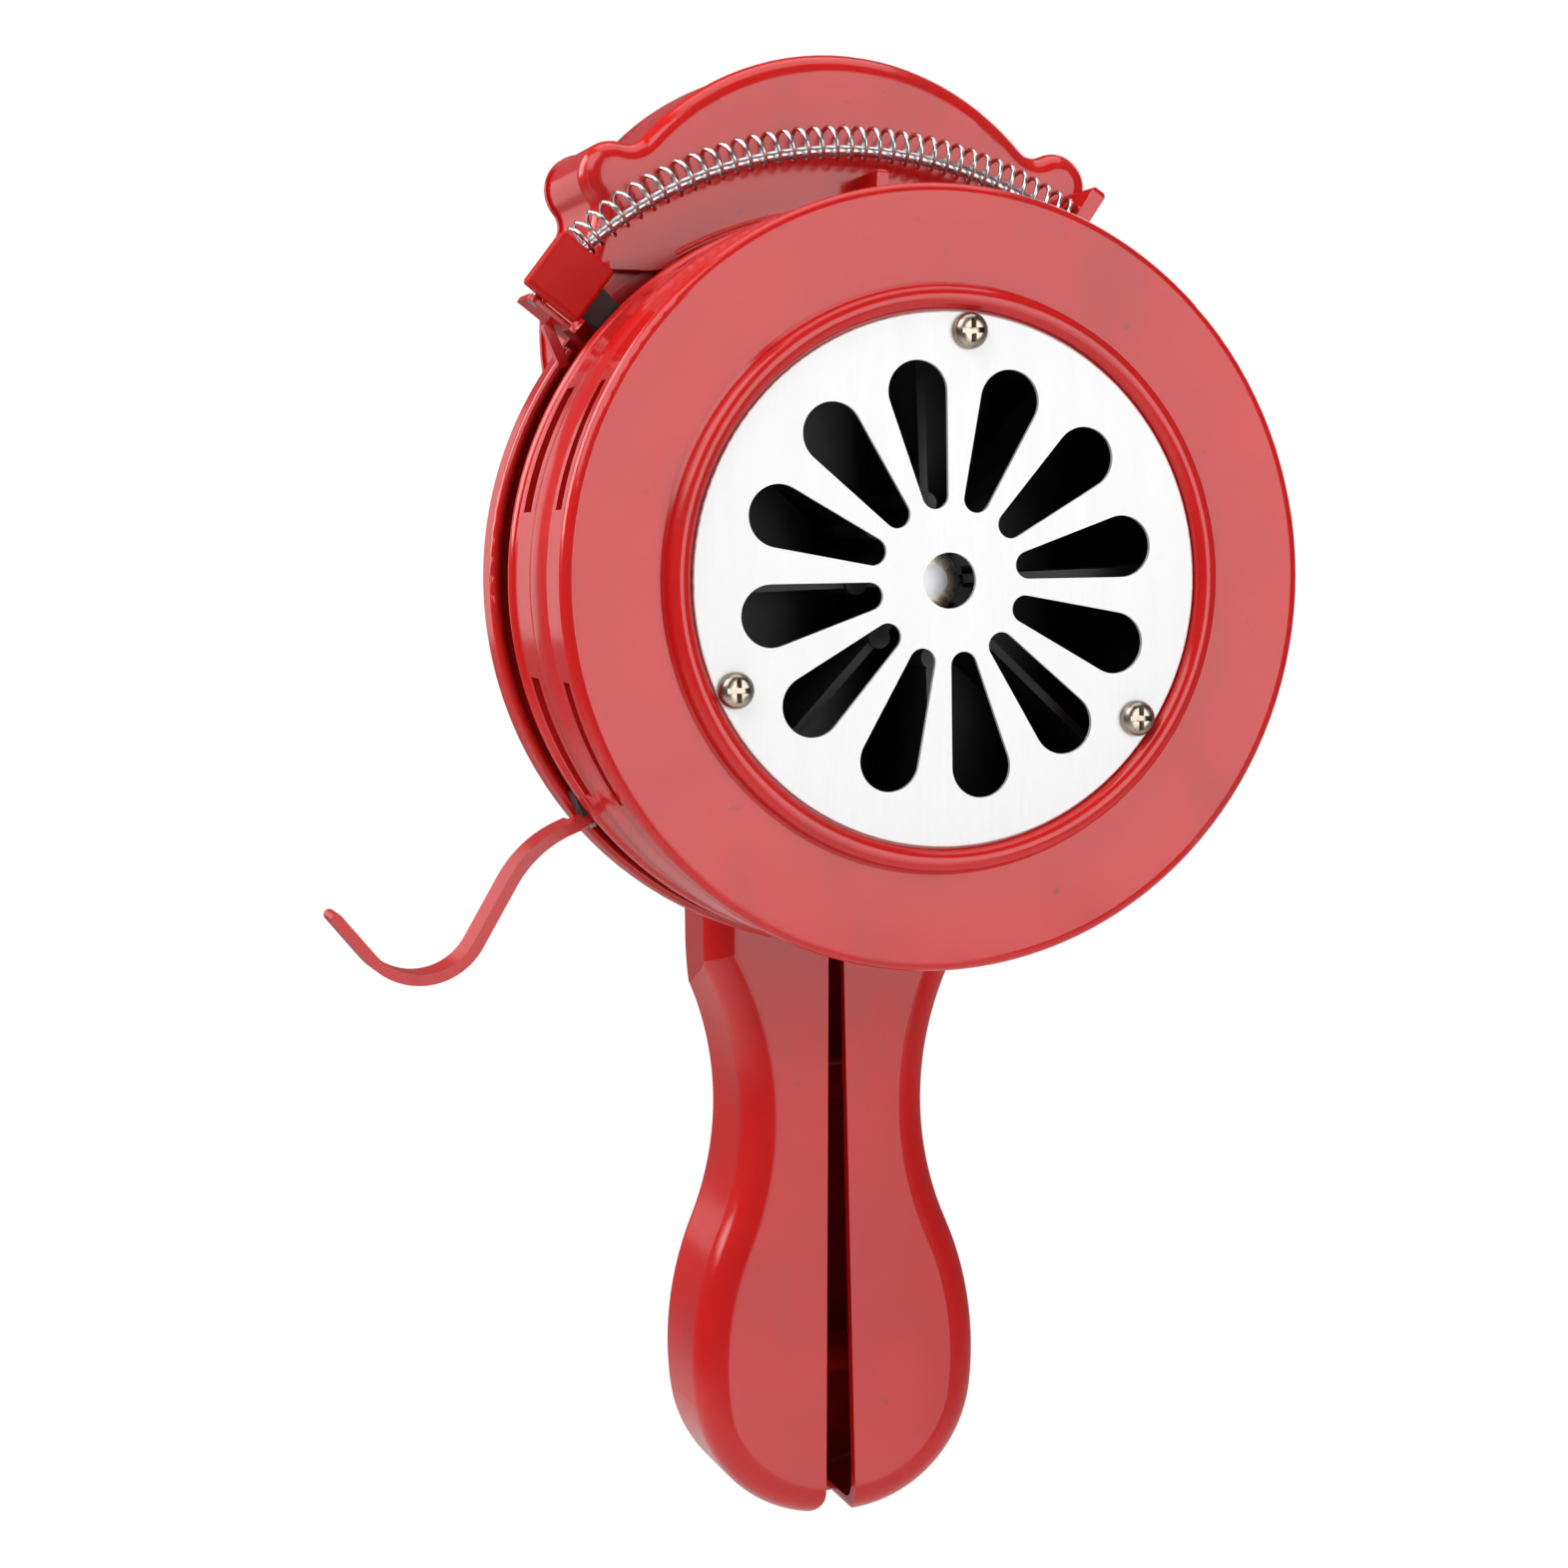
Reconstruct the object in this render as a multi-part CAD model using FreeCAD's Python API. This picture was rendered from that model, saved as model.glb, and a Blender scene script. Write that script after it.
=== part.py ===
import FreeCAD, Part
import math
import os

# Hand crank siren. All lengths are in millimetres.
# Pieces are drawn about the drum axis, which runs along Y: Y = 0 is the front
# of the grille plate and +Y goes back to the crank. Angles are counted from +X
# towards +Z. On export each piece is moved so that the origin is the middle of
# the hand grip.

V = FreeCAD.Vector
FRONT = V(0, -1, 0)
BACK = V(0, 1, 0)

# Clearances
RUNNING = 0.04
MOVING_GAP = 0.35
SEAT_GAP = 0.05

# Drum: the slotted front shell
DRUM_R = 73.2
DRUM_WALL_STEP = 0.8
DRUM_WALL_T = 1.5
DRUM_FACE_Y = 2.4
DRUM_FACE_T = 2.4
DRUM_EDGE_R = 1.9
DRUM_REAR_Y = 47.0
DRUM_LIP_END_Y = 6.6
RIDGE_H = 0.9
RIDGE_START_Y = 17.0
RIDGE_END_Y = 31.0
REAR_BEAD_W = 3.6
BEAD_R = 2.2
BEAD_MID_Y = 0.6
SHELF_W = 6.9
SHELF_T = 2.4
SCREW_BOSS_R = 4.4
SCREW_BOSS_DEPTH = 4.2

# Sound ports, alike in the drum, the shutter ring and the rotor
PORTS = 8
PORT_ANGLE = 20.0
PORT_FIRST = 24.0
FRONT_PORT_Y = 10.0
FRONT_PORT_W = 4.4
REAR_PORT_Y = 34.0
REAR_PORT_W = 6.0

# Grille plate
PLATE_R = 49.5
PLATE_T = 0.9
PLATE_FIT = 0.4
PLATE_HOLE_R = 5.2
SLOTS = 12
SLOT_FIRST = 9.7
SLOT_OUT_R = 5.8
SLOT_OUT_AT = 35.2
SLOT_IN_R = 2.6
SLOT_IN_AT = 16.0
PLATE_SCREWS = 3
PLATE_SCREW_FIRST = 84.7
PLATE_SCREW_EDGE = 3.5

# Screws: radius and height of the pan head, radius of the shank
M4_HEAD_R = 3.4
M4_HEAD_H = 2.4
M4_SHANK_R = 2.0
M3_HEAD_R = 2.7
M3_HEAD_H = 1.9
M3_SHANK_R = 1.5
PLATE_SCREW_LEN = 6.4
COVER_SCREW_LEN = 14.0
HANDLE_SCREW_LEN = 22.0
HANDLE_SEAT_X = 13.0
DRUM_SCREW_SHORT = 0.4
DRUM_HOLE_LEN = 10.0
HOLE_START = 5.0

# Rotor
ROTOR_WALL_T = 1.8
ROTOR_FRONT_Y = 8.6
ROTOR_REAR_Y = 44.0
ROTOR_DISC_T = 2.5
ROTOR_HUB_R = 8.0
ROTOR_HUB_Y = 14.0
VANE_T = 1.6
VANE_ROOT = 0.7
VANE_FRONT_Y = 12.0
VANE_ROLL_R = 2.1
VANE_ROLL_AT = 14.5
SHAFT_R = 4.0
SHAFT_TIP_R = 3.0
SHAFT_TIP_Y = 9.0
SHAFT_END_Y = 86.0
ROTOR_NUT_AF = 10.0
ROTOR_NUT_T = 4.0
ROTOR_WASHER_R = 6.5
ROTOR_WASHER_T = 0.8

# Shutter ring with its lever and its slider
SHUTTER_T = 1.2
SHUTTER_FRONT_Y = 9.0
SHUTTER_FLANGE_Y = 48.2
SHUTTER_FLANGE_T = 2.0
SHUTTER_FLANGE_W = 12.5
SLIDER_ANGLE = 135.1
SLIDER_LIFT = 4.1
SLIDER_LEAN = 6.9
SLIDER_H = 12.8
SLIDER_W = 12.6
SLIDER_FRONT_Y = 46.5
SLIDER_CAP_BACK_Y = 50.8
SLIDER_BACK_Y = 54.8
SLIDER_INSET = 1.1
SLIDER_ROUND = 0.9
TAB_W = 7.0
TAB_T = 3.0
TAB_REACH = 4.8
SLIDER_SCREW_INSET = 2.2
LEVER_T = 2.2
LEVER_FRONT_Y = 50.4
LEVER_NECK_BACK_Y = 54.7
LEVER_WIDE_FRONT_Y = 48.6
LEVER_WIDE_BACK_Y = 58.0
LEVER_CLEAR = 1.4
LEVER_ROOT_DROP = 3.8
LEVER_ROOT_ANGLE = 220.8
LEVER_TO_KNEE = V(-18.1, 0, -7.2)
LEVER_TO_CUP = V(-20.5, 0, -34.5)
LEVER_TO_TIP = V(-18.0, 0, 22.1)
LEVER_KNEE_R = 24.0
LEVER_CUP_R = 12.8
LEVER_BOSS_LEN = 7.8
LEVER_BOSS_H = 5.0
RIVET_STEPS = (1.9, 5.8)
RIVET_R = 1.0
RIVET_HEAD_R = 1.7
RIVET_HEAD_H = 0.8

# Guide rod and return spring
ROD_R = 1.15
ROD_LIFT = 12.1
ROD_Y = 52.5
ROD_OVERLAP = 1.6
WIRE_R = 0.42
COIL_R = 3.25
SPRING_LIFT = 1.4
COILS = 37
END_PITCH = 1.35
END_COILS = 1.2
RAMP_COILS = 1.0
SPRING_SEAT_GAP = 0.3

# Rear casing
LIP_STAND = 1.2
LIP_T = 2.4
LIP_FRONT_Y = 55.3
NOTCH_ANGLES = (122.0, 141.5)
FLARE_ANGLE = 119.0
FLARE_TIP_ANGLE = 128.0
FLARE_RISE = 5.7
FLARE_T = 1.7
FINGER_ANGLE = 143.2
FINGER_TIP_ANGLE = 141.0
FINGER_RISE = 5.2
FINGER_HALF = 1.0
FINGER_T = 2.4
DISC_BACK_Y = 65.8
DISC_ROUND = 4.0
FLOOR_Y = 58.5
FLOOR_T = 3.0
HUMP_R = 55.1
HUMP_Z = 50.7
HUMP_FRONT_Y = 59.7
HUMP_ROUND = 4.0
HUMP_PLATE_T = 2.8
LOBE_R = 48.0
CASING_WALL = 3.0
CASING_BACK_Y = 88.0
EAR_X = 47.4
EAR_SHIFT = 0.8
EAR_Z = 80.5
EAR_R = 6.9
EAR_INNER_FILLET = 4.0
EAR_OUTER_FILLET = 5.0
VALLEY_FILLET = 5.0
LOW_BOSS_X = 34.0
LOW_BOSS_Z = -24.5
LOW_BOSS_R = 5.6
LUG_FRONT_Y = 48.5
LUG_WIDE = 3.0
LUG_ROUND = 1.45
RIGHT_LUG_ANGLE = 56.2
RIGHT_LUG_OVER = 9.4
LEFT_LUG_GAP = 0.2
LEFT_LUG_WIDE = 1.2
LEFT_LUG_WALL = 0.9
LEFT_LUG_ROUND = 1.8
LEFT_LUG_SHELF = 3.0
NUB_ANGLE = 86.2
NUB_WIDE = 2.4
NUB_OVER = 7.2
POST_ANGLES = (25.0, 328.0, 272.0)
POST_WIDE = 6.4
POST_STAND = 1.2
POST_FRONT_Y = 41.6
POST_SCREW_Y = 45.2
TONGUE_TOP_Z = -40.0
TONGUE_END_Z = -76.0

# Rear cover
COVER_T = 3.0
COVER_EDGE_ROUND = 1.6
COVER_OVERHANG = 0.5
COVER_INNER_FILLET = 9.0
COVER_BOSS_R = 11.0
COVER_BOSS_Y = 96.0
COVER_SPIGOT_T = 1.6
COVER_SPIGOT_GAP = 0.2
COVER_SPIGOT_H = 2.5

# Gears: module, teeth, and the depth planes of the two stages
MODULE = 0.8
CRANK_TEETH = 84
PINION_TEETH = 14
IDLER_TEETH = 48
PRESSURE_ANGLE = 20.0
WHEEL_ADDENDUM = 0.8
PINION_ADDENDUM = 1.0
DEDENDUM = 1.25
TOOTH_THINNING = 0.10
STAGE_ONE_Y = 71.0
STAGE_TWO_Y = 65.2
GEAR_W = 5.0
WHEEL_HOLES_AT = 21.5
WHEEL_HOLE_R = 6.5
PINION_EXTRA_W = 0.6

# Bearings
BEARING_R = 11.0
BEARING_W = 7.0
FRONT_BEARING_Y = 51.0
REAR_BEARING_Y = 80.0
BEARING_BOSS_R = 14.0
BALLS = 7
BALL_R = 1.95
BUSH_R = 7.5
BUSH_LEN = 5.0
REAR_BUSH_LEN = 12.0
IDLER_PIN_R = 3.0
IDLER_HUB_R = 5.0

# Crank
CRANK_SHAFT_R = 5.0
CRANK_THREAD_R = 3.0
CRANK_ARM_LEN = 72.0
CRANK_ARM_T = 4.0
CRANK_ARM_Y = 97.6
CRANK_ARM_W = 15.0
CRANK_ARM_TIP_W = 12.0
CRANK_NUT_AF = 10.0
CRANK_NUT_T = 5.0
CRANK_GEAR_HUB_R = 10.0
CRANK_SHAFT_FRONT_Y = 64.6
KNOB_PIN_R = 3.0
KNOB_PIN_HEAD_R = 5.5
KNOB_PIN_HEAD_T = 2.0
KNOB_CLEAR = 0.6
KNOB_LEN = 44.0
KNOB_END_R = 9.0
KNOB_MID_R = 12.0
KNOB_RECESS_R = 6.2
KNOB_RECESS_DEPTH = 3.0

# Handle halves
HANDLE_FRONT_Y = 66.0
HANDLE_DEPTH = 32.0
HANDLE_WALL = 2.6
HANDLE_ROUND = 7.0
HANDLE_TOP_Z = -52.0
ROOT_HALF = 28.6
ROOT_DRAFT = 4.6
GRIP_NECK_HALF = 20.0
GRIP_NECK_R = 65.0
GRIP_NECK_Z = -110.8
GRIP_NECK_DROP = 23.5
GRIP_BULB_HALF = 31.1
GRIP_BULB_DROP = 7.2
GRIP_BOTTOM_Z = -198.0
SLIT_TOP_Z = -80.0
SLIT_LOW_Z = -186.0
SLIT_LEFT_TOP = -2.2
SLIT_LEFT_LOW = -4.0
SLIT_RIGHT_TOP = 1.2
SLIT_RIGHT_LOW = 2.3
SLIT_DEPTH = 19.0
SLIT_LEFT_CORNER_R = 5.5
SLIT_RIGHT_CORNER_R = 1.8
HANDLE_BOSS_R = 4.5
HANDLE_BOSS_Y = 88.0
HANDLE_BOSS_ZS = (-108.0, -168.0)
ROOT_SCREW_ZS = (-59.0, -72.0)
ROOT_SCREW_Y = 78.0
ROOT_SEAT_X = 26.0
ROOT_SCREW_END_X = -25.5
THROUGH_FRONT_Y = 40.0
THROUGH_BACK_Y = 120.0

# The origin of the part, seen from the drum axis
GRIP_CENTRE_Z = -112.0
GRIP_CENTRE = V(0, HANDLE_FRONT_Y + HANDLE_DEPTH / 2, GRIP_CENTRE_Z)

# Places worked out from the sizes above
DRUM_WALL_R = DRUM_R - DRUM_WALL_STEP
DRUM_BORE_R = DRUM_WALL_R - DRUM_WALL_T
RIDGE_R = DRUM_WALL_R + RIDGE_H
BEAD_MID_R = PLATE_R + PLATE_FIT + BEAD_R
SHELF_BORE_R = PLATE_R - SHELF_W
PLATE_SCREW_AT = PLATE_R - PLATE_SCREW_EDGE
LIP_R = DRUM_R + LIP_STAND
POST_TOP_R = LIP_R + POST_STAND
DRUM_SCREW_LEN = POST_TOP_R - DRUM_BORE_R - DRUM_SCREW_SHORT
SHUTTER_R = DRUM_BORE_R - MOVING_GAP
SHUTTER_BORE_R = SHUTTER_R - SHUTTER_T
SHUTTER_FLANGE_BORE_R = SHUTTER_R - SHUTTER_FLANGE_W
ROTOR_R = SHUTTER_BORE_R - MOVING_GAP - 0.1
ROD_ARC_R = DRUM_R + ROD_LIFT
SPRING_ARC_R = ROD_ARC_R + SPRING_LIFT
SLIDER_IN_R = DRUM_R + SLIDER_LIFT
SLIDER_MID_R = SLIDER_IN_R + SLIDER_H / 2
TAB_REACH_R = SLIDER_IN_R + TAB_REACH
SLIDER_SCREW_R = TAB_REACH_R - SLIDER_SCREW_INSET
RIGHT_LUG_TOP_R = ROD_ARC_R + RIGHT_LUG_OVER
LEFT_LUG_TOP_R = ROD_ARC_R + ROD_R + LEFT_LUG_WALL
NUB_TOP_R = LIP_R + NUB_OVER
LEVER_WIDE_R = LIP_R + LEVER_CLEAR
PINION_PITCH_R = MODULE * PINION_TEETH / 2
IDLER_PITCH_R = MODULE * IDLER_TEETH / 2
CRANK_PITCH_R = MODULE * CRANK_TEETH / 2
STAGE_ONE_C = CRANK_PITCH_R + PINION_PITCH_R
STAGE_TWO_C = IDLER_PITCH_R + PINION_PITCH_R
IDLER_Z = (STAGE_TWO_C ** 2 - STAGE_ONE_C ** 2 + HUMP_Z ** 2) / (2 * HUMP_Z)
IDLER_X = math.sqrt(STAGE_TWO_C ** 2 - IDLER_Z ** 2)
KNOB_Z = HUMP_Z - CRANK_ARM_LEN
KNOB_START_Y = CRANK_ARM_Y + CRANK_ARM_T + KNOB_CLEAR


def polar(r, deg, y=0.0):
    """A point at radius r and angle deg about the drum axis."""
    a = math.radians(deg)
    return V(r * math.cos(a), y, r * math.sin(a))


LEVER_ROOT = polar(SHUTTER_R - LEVER_ROOT_DROP, LEVER_ROOT_ANGLE)
LEVER_KNEE = LEVER_ROOT + LEVER_TO_KNEE
LEVER_CUP = LEVER_KNEE + LEVER_TO_CUP
LEVER_TIP = LEVER_CUP + LEVER_TO_TIP


def radial(deg):
    return polar(1.0, deg)


def post(r, y0, y1, x=0.0, z=0.0):
    """A round bar along Y."""
    return Part.makeCylinder(r, y1 - y0, V(x, y0, z), BACK)


def through(r, x=0.0, z=0.0):
    """A cutter along Y, long enough for anything behind the drum."""
    return post(r, THROUGH_FRONT_Y, THROUGH_BACK_Y, x, z)


def tube(r, bore, y0, y1, x=0.0, z=0.0):
    return post(r, y0, y1, x, z).cut(post(bore, y0 - 1, y1 + 1, x, z))


def outline(start, *steps):
    """Edges from start: a step is a point, or a pair of points for an arc."""
    edges = []
    here = start
    for step in steps:
        if isinstance(step, tuple):
            edges.append(Part.Arc(here, step[0], step[1]).toShape())
            here = step[1]
        else:
            edges.append(Part.LineSegment(here, step).toShape())
            here = step
    return Part.Face(Part.Wire(edges))


def turned(start, *steps):
    """A profile of (radius, y) points turned about the drum axis."""
    def place(p):
        return V(p[0], p[1], 0)
    moved = []
    for step in steps:
        if isinstance(step[0], tuple):
            moved.append((place(step[0]), place(step[1])))
        else:
            moved.append(place(step))
    return outline(place(start), *moved).revolve(V(0, 0, 0), BACK, 360)


def sector(r0, r1, deg0, deg1, y0, y1):
    """A curved block between two radii, two angles and two depths."""
    mid = (deg0 + deg1) / 2
    face = outline(
        polar(r0, deg0, y0),
        polar(r1, deg0, y0),
        (polar(r1, mid, y0), polar(r1, deg1, y0)),
        polar(r0, deg1, y0),
        (polar(r0, mid, y0), polar(r0, deg0, y0)),
    )
    return face.extrude(V(0, y1 - y0, 0))


def turn(shape, deg):
    """A copy turned by deg about the drum axis, from +X towards +Z."""
    copy = shape.copy()
    copy.rotate(V(0, 0, 0), FRONT, deg)
    return copy


def ports(r0, r1):
    """The cutters of both port rows between two radii."""
    cutters = []
    for i in range(PORTS):
        mid = PORT_FIRST + i * 360.0 / PORTS
        low = mid - PORT_ANGLE / 2
        high = mid + PORT_ANGLE / 2
        cutters.append(sector(r0, r1, low, high, FRONT_PORT_Y, FRONT_PORT_Y + FRONT_PORT_W))
        cutters.append(sector(r0, r1, low, high, REAR_PORT_Y, REAR_PORT_Y + REAR_PORT_W))
    return Part.makeCompound(cutters)


def fuse_all(first, *others):
    return first.multiFuse(list(others)).removeSplitter()


def stand(shape, place, direction):
    """Move a shape drawn along +Z to a place, with +Z turned to direction."""
    copy = shape.copy()
    copy.Placement = FreeCAD.Placement(place, FreeCAD.Rotation(V(0, 0, 1), direction))
    return copy


def pan_screw(head_r, head_h, shank_r, length, place, direction):
    """A cross-recessed pan-head screw; direction points out of the head."""
    head = Part.makeCylinder(head_r, head_h)
    top = [e for e in head.Edges if len(e.Vertexes) == 1 and e.BoundBox.ZMin > head_h / 2]
    head = head.makeFillet(head_h * 0.8, top)
    shank = Part.makeCylinder(shank_r, length, V(0, 0, -length))
    screw = head.fuse(shank)
    arm = head_r * 0.64
    width = head_r * 0.30
    deep = head_h * 0.72
    for angle in (0, 90):
        cut = Part.makeBox(2 * arm, width, deep + 1, V(-arm, -width / 2, head_h - deep))
        cut.rotate(V(0, 0, 0), V(0, 0, 1), angle)
        screw = screw.cut(cut)
    return stand(screw, place, direction)


def hex_nut(across, thick, bore, y, x=0.0, z=0.0):
    corner = across / 2 / math.cos(math.radians(30))
    points = [polar(corner, 60 * i, y) + V(x, 0, z) for i in range(6)]
    body = Part.Face(Part.makePolygon(points + points[:1])).extrude(V(0, thick, 0))
    return body.cut(post(bore, y - 1, y + thick + 1, x, z))


def bearing(y, x=0.0, z=0.0):
    """A ball bearing: outer ring, inner ring and balls."""
    bore = SHAFT_R + RUNNING
    ball_at = (BEARING_R + SHAFT_R) / 2
    mid = y + BEARING_W / 2
    outer = tube(BEARING_R, ball_at + BALL_R * 0.55, y, y + BEARING_W, x, z)
    inner = tube(ball_at - BALL_R * 0.55, bore, y, y + BEARING_W, x, z)
    race = Part.makeTorus(ball_at, BALL_R + 0.03, V(x, mid, z), BACK)
    parts = [outer.cut(race), inner.cut(race)]
    for i in range(BALLS):
        spot = polar(ball_at, i * 360.0 / BALLS, mid) + V(x, 0, z)
        parts.append(Part.makeSphere(BALL_R, spot))
    return Part.makeCompound(parts)


def gear_face(teeth, addendum, y, first):
    """An involute gear's outline about the drum axis, a tooth at angle first."""
    pitch_r = MODULE * teeth / 2
    base_r = pitch_r * math.cos(math.radians(PRESSURE_ANGLE))
    tip_r = pitch_r + addendum * MODULE
    root_r = pitch_r - DEDENDUM * MODULE

    def involute(r):
        a = math.acos(min(1.0, base_r / r))
        return math.tan(a) - a

    half_pitch = (math.pi * MODULE / 2 - TOOTH_THINNING) / 2 / pitch_r + involute(pitch_r)
    flank = [max(root_r, base_r)]
    steps = 3
    for i in range(1, steps + 1):
        flank.append(flank[0] + (tip_r - flank[0]) * i / steps)
    points = []
    for i in range(teeth):
        mid = first + i * 360.0 / teeth
        root_half = math.degrees(half_pitch - involute(flank[0]))
        side = [polar(root_r, mid - root_half, y)]
        for r in flank:
            side.append(polar(r, mid - math.degrees(half_pitch - involute(r)), y))
        if flank[0] <= root_r:
            side = side[1:]
        other = []
        for r in reversed(flank):
            other.append(polar(r, mid + math.degrees(half_pitch - involute(r)), y))
        if flank[0] > root_r:
            other.append(polar(root_r, mid + root_half, y))
        points += side + other
    return Part.Face(Part.makePolygon(points + points[:1]))


def gear(teeth, addendum, y, width, first, x=0.0, z=0.0):
    body = gear_face(teeth, addendum, y, first).extrude(V(0, width, 0))
    body.translate(V(x, 0, z))
    return body


def bar_along(points, radii, half_t):
    """The outline of a strip of even thickness along a path with round corners."""
    ends = []
    here = points[0]
    lines = []
    arcs = []
    for i, r in enumerate(radii):
        corner = points[i + 1]
        into = (corner - here).normalize()
        out = (points[i + 2] - corner).normalize()
        bend = into.getAngle(out)
        reach = r * math.tan(bend / 2)
        start = corner - into * reach
        stop = corner + out * reach
        bisector = (out - into).normalize()
        centre = corner + bisector * (r / math.cos(bend / 2))
        lines.append((here, start))
        arcs.append((start, centre, stop, centre - bisector * r))
        here = stop
    lines.append((here, points[-1]))

    def offset(side):
        path = []
        for i, (a, b) in enumerate(lines):
            along = (b - a).normalize()
            across = V(-along.z, 0, along.x) * (half_t * side)
            path.append((a + across, b + across))
        bends = []
        for start, centre, stop, mid in arcs:
            out = (mid - centre).normalize()
            first = path[len(bends)]
            side_of = 1 if (first[1] - start).dot(start - centre) > 0 else -1
            bends.append(mid + out * (half_t * side_of))
        return path, bends

    left, left_bends = offset(1)
    right, right_bends = offset(-1)
    edges = []
    for i, (a, b) in enumerate(left):
        edges.append(Part.LineSegment(a, b).toShape())
        if i < len(left_bends):
            edges.append(Part.Arc(b, left_bends[i], left[i + 1][0]).toShape())
    tip = points[-1] + (points[-1] - lines[-1][0]).normalize() * half_t
    edges.append(Part.Arc(left[-1][1], tip, right[-1][1]).toShape())
    for i in range(len(right) - 1, -1, -1):
        a, b = right[i]
        edges.append(Part.LineSegment(b, a).toShape())
        if i > 0:
            edges.append(Part.Arc(a, right_bends[i - 1], right[i - 1][1]).toShape())
    edges.append(Part.LineSegment(right[0][0], left[0][0]).toShape())
    return Part.Face(Part.Wire(edges))


# Drum: one pressed shell, from the shelf under the plate over the rolled bead
# and the ring face to the wall with its ridge and its rear bead.
def make_drum():
    face_back = DRUM_FACE_Y + DRUM_FACE_T
    bead_out = BEAD_MID_R + BEAD_R
    bead_in = BEAD_MID_R - BEAD_R
    edge_mid = DRUM_EDGE_R * (1 - math.sqrt(0.5))
    rear_bead_y = DRUM_REAR_Y - REAR_BEAD_W
    ridge_mid = (RIDGE_START_Y + RIDGE_END_Y) / 2
    shell = turned(
        (SHELF_BORE_R, PLATE_T),
        (bead_in, PLATE_T),
        (bead_in, BEAD_MID_Y),
        ((BEAD_MID_R, BEAD_MID_Y - BEAD_R), (bead_out, BEAD_MID_Y)),
        (bead_out, DRUM_FACE_Y - 0.6),
        (bead_out + 0.6, DRUM_FACE_Y),
        (DRUM_R - DRUM_EDGE_R, DRUM_FACE_Y),
        ((DRUM_R - edge_mid, DRUM_FACE_Y + edge_mid), (DRUM_R, DRUM_FACE_Y + DRUM_EDGE_R)),
        (DRUM_R, DRUM_LIP_END_Y),
        (DRUM_WALL_R, DRUM_LIP_END_Y + 0.5),
        (DRUM_WALL_R, RIDGE_START_Y),
        ((RIDGE_R, ridge_mid), (DRUM_WALL_R, RIDGE_END_Y)),
        (DRUM_WALL_R, rear_bead_y),
        ((DRUM_R, (rear_bead_y + DRUM_REAR_Y) / 2), (DRUM_WALL_R, DRUM_REAR_Y)),
        (DRUM_BORE_R, DRUM_REAR_Y),
        (DRUM_BORE_R, face_back),
        (bead_in - 1.5, face_back),
        (bead_in - 1.5, PLATE_T + SHELF_T),
        (SHELF_BORE_R, PLATE_T + SHELF_T),
        (SHELF_BORE_R, PLATE_T),
    )
    bosses = []
    holes = []
    for i in range(PLATE_SCREWS):
        at = polar(PLATE_SCREW_AT, PLATE_SCREW_FIRST + i * 360.0 / PLATE_SCREWS)
        bosses.append(post(SCREW_BOSS_R, PLATE_T, PLATE_T + SCREW_BOSS_DEPTH + SHELF_T, at.x, at.z))
        holes.append(post(M4_SHANK_R + SEAT_GAP, -HOLE_START, PLATE_SCREW_LEN + 0.5, at.x, at.z))
    shell = fuse_all(shell, *bosses)
    for angle in POST_ANGLES:
        start = polar(POST_TOP_R + 1, angle, POST_SCREW_Y)
        holes.append(Part.makeCylinder(M3_SHANK_R + SEAT_GAP, DRUM_HOLE_LEN, start, radial(angle) * -1))
    return shell.cut(Part.makeCompound(holes)).cut(ports(DRUM_BORE_R - 3, DRUM_R + 5))


def teardrop(deg):
    """A slot cutter: two arcs joined by their common tangents."""
    along = radial(deg)
    across = radial(deg + 90)
    far = along * SLOT_OUT_AT + V(0, -1, 0)
    near = along * SLOT_IN_AT + V(0, -1, 0)
    lean = (SLOT_OUT_R - SLOT_IN_R) / (SLOT_OUT_AT - SLOT_IN_AT)
    square = math.sqrt(1 - lean ** 2)
    up = across * square - along * lean
    down = across * -square - along * lean
    face = outline(
        near + up * SLOT_IN_R,
        far + up * SLOT_OUT_R,
        (far + along * SLOT_OUT_R, far + down * SLOT_OUT_R),
        near + down * SLOT_IN_R,
        (near - along * SLOT_IN_R, near + up * SLOT_IN_R),
    )
    return face.extrude(V(0, PLATE_T + 2, 0))


# Grille plate: a flat disc with teardrop slots, held by three screws.
def make_grille_plate():
    plate = post(PLATE_R, 0, PLATE_T)
    front = [e for e in plate.Edges if len(e.Vertexes) == 1 and e.BoundBox.YMax < PLATE_T / 2]
    plate = plate.makeFillet(0.3, front)
    cutters = [post(PLATE_HOLE_R, -1, PLATE_T + 1)]
    for i in range(SLOTS):
        cutters.append(teardrop(SLOT_FIRST + i * 360.0 / SLOTS))
    for i in range(PLATE_SCREWS):
        at = polar(PLATE_SCREW_AT, PLATE_SCREW_FIRST + i * 360.0 / PLATE_SCREWS)
        cutters.append(post(M4_SHANK_R + 0.2, -1, PLATE_T + 1, at.x, at.z))
    return plate.cut(Part.makeCompound(cutters))


def make_grille_screws():
    screws = []
    for i in range(PLATE_SCREWS):
        at = polar(PLATE_SCREW_AT, PLATE_SCREW_FIRST + i * 360.0 / PLATE_SCREWS)
        screws.append(pan_screw(M4_HEAD_R, M4_HEAD_H, M4_SHANK_R, PLATE_SCREW_LEN, at, FRONT))
    return Part.makeCompound(screws)


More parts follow.
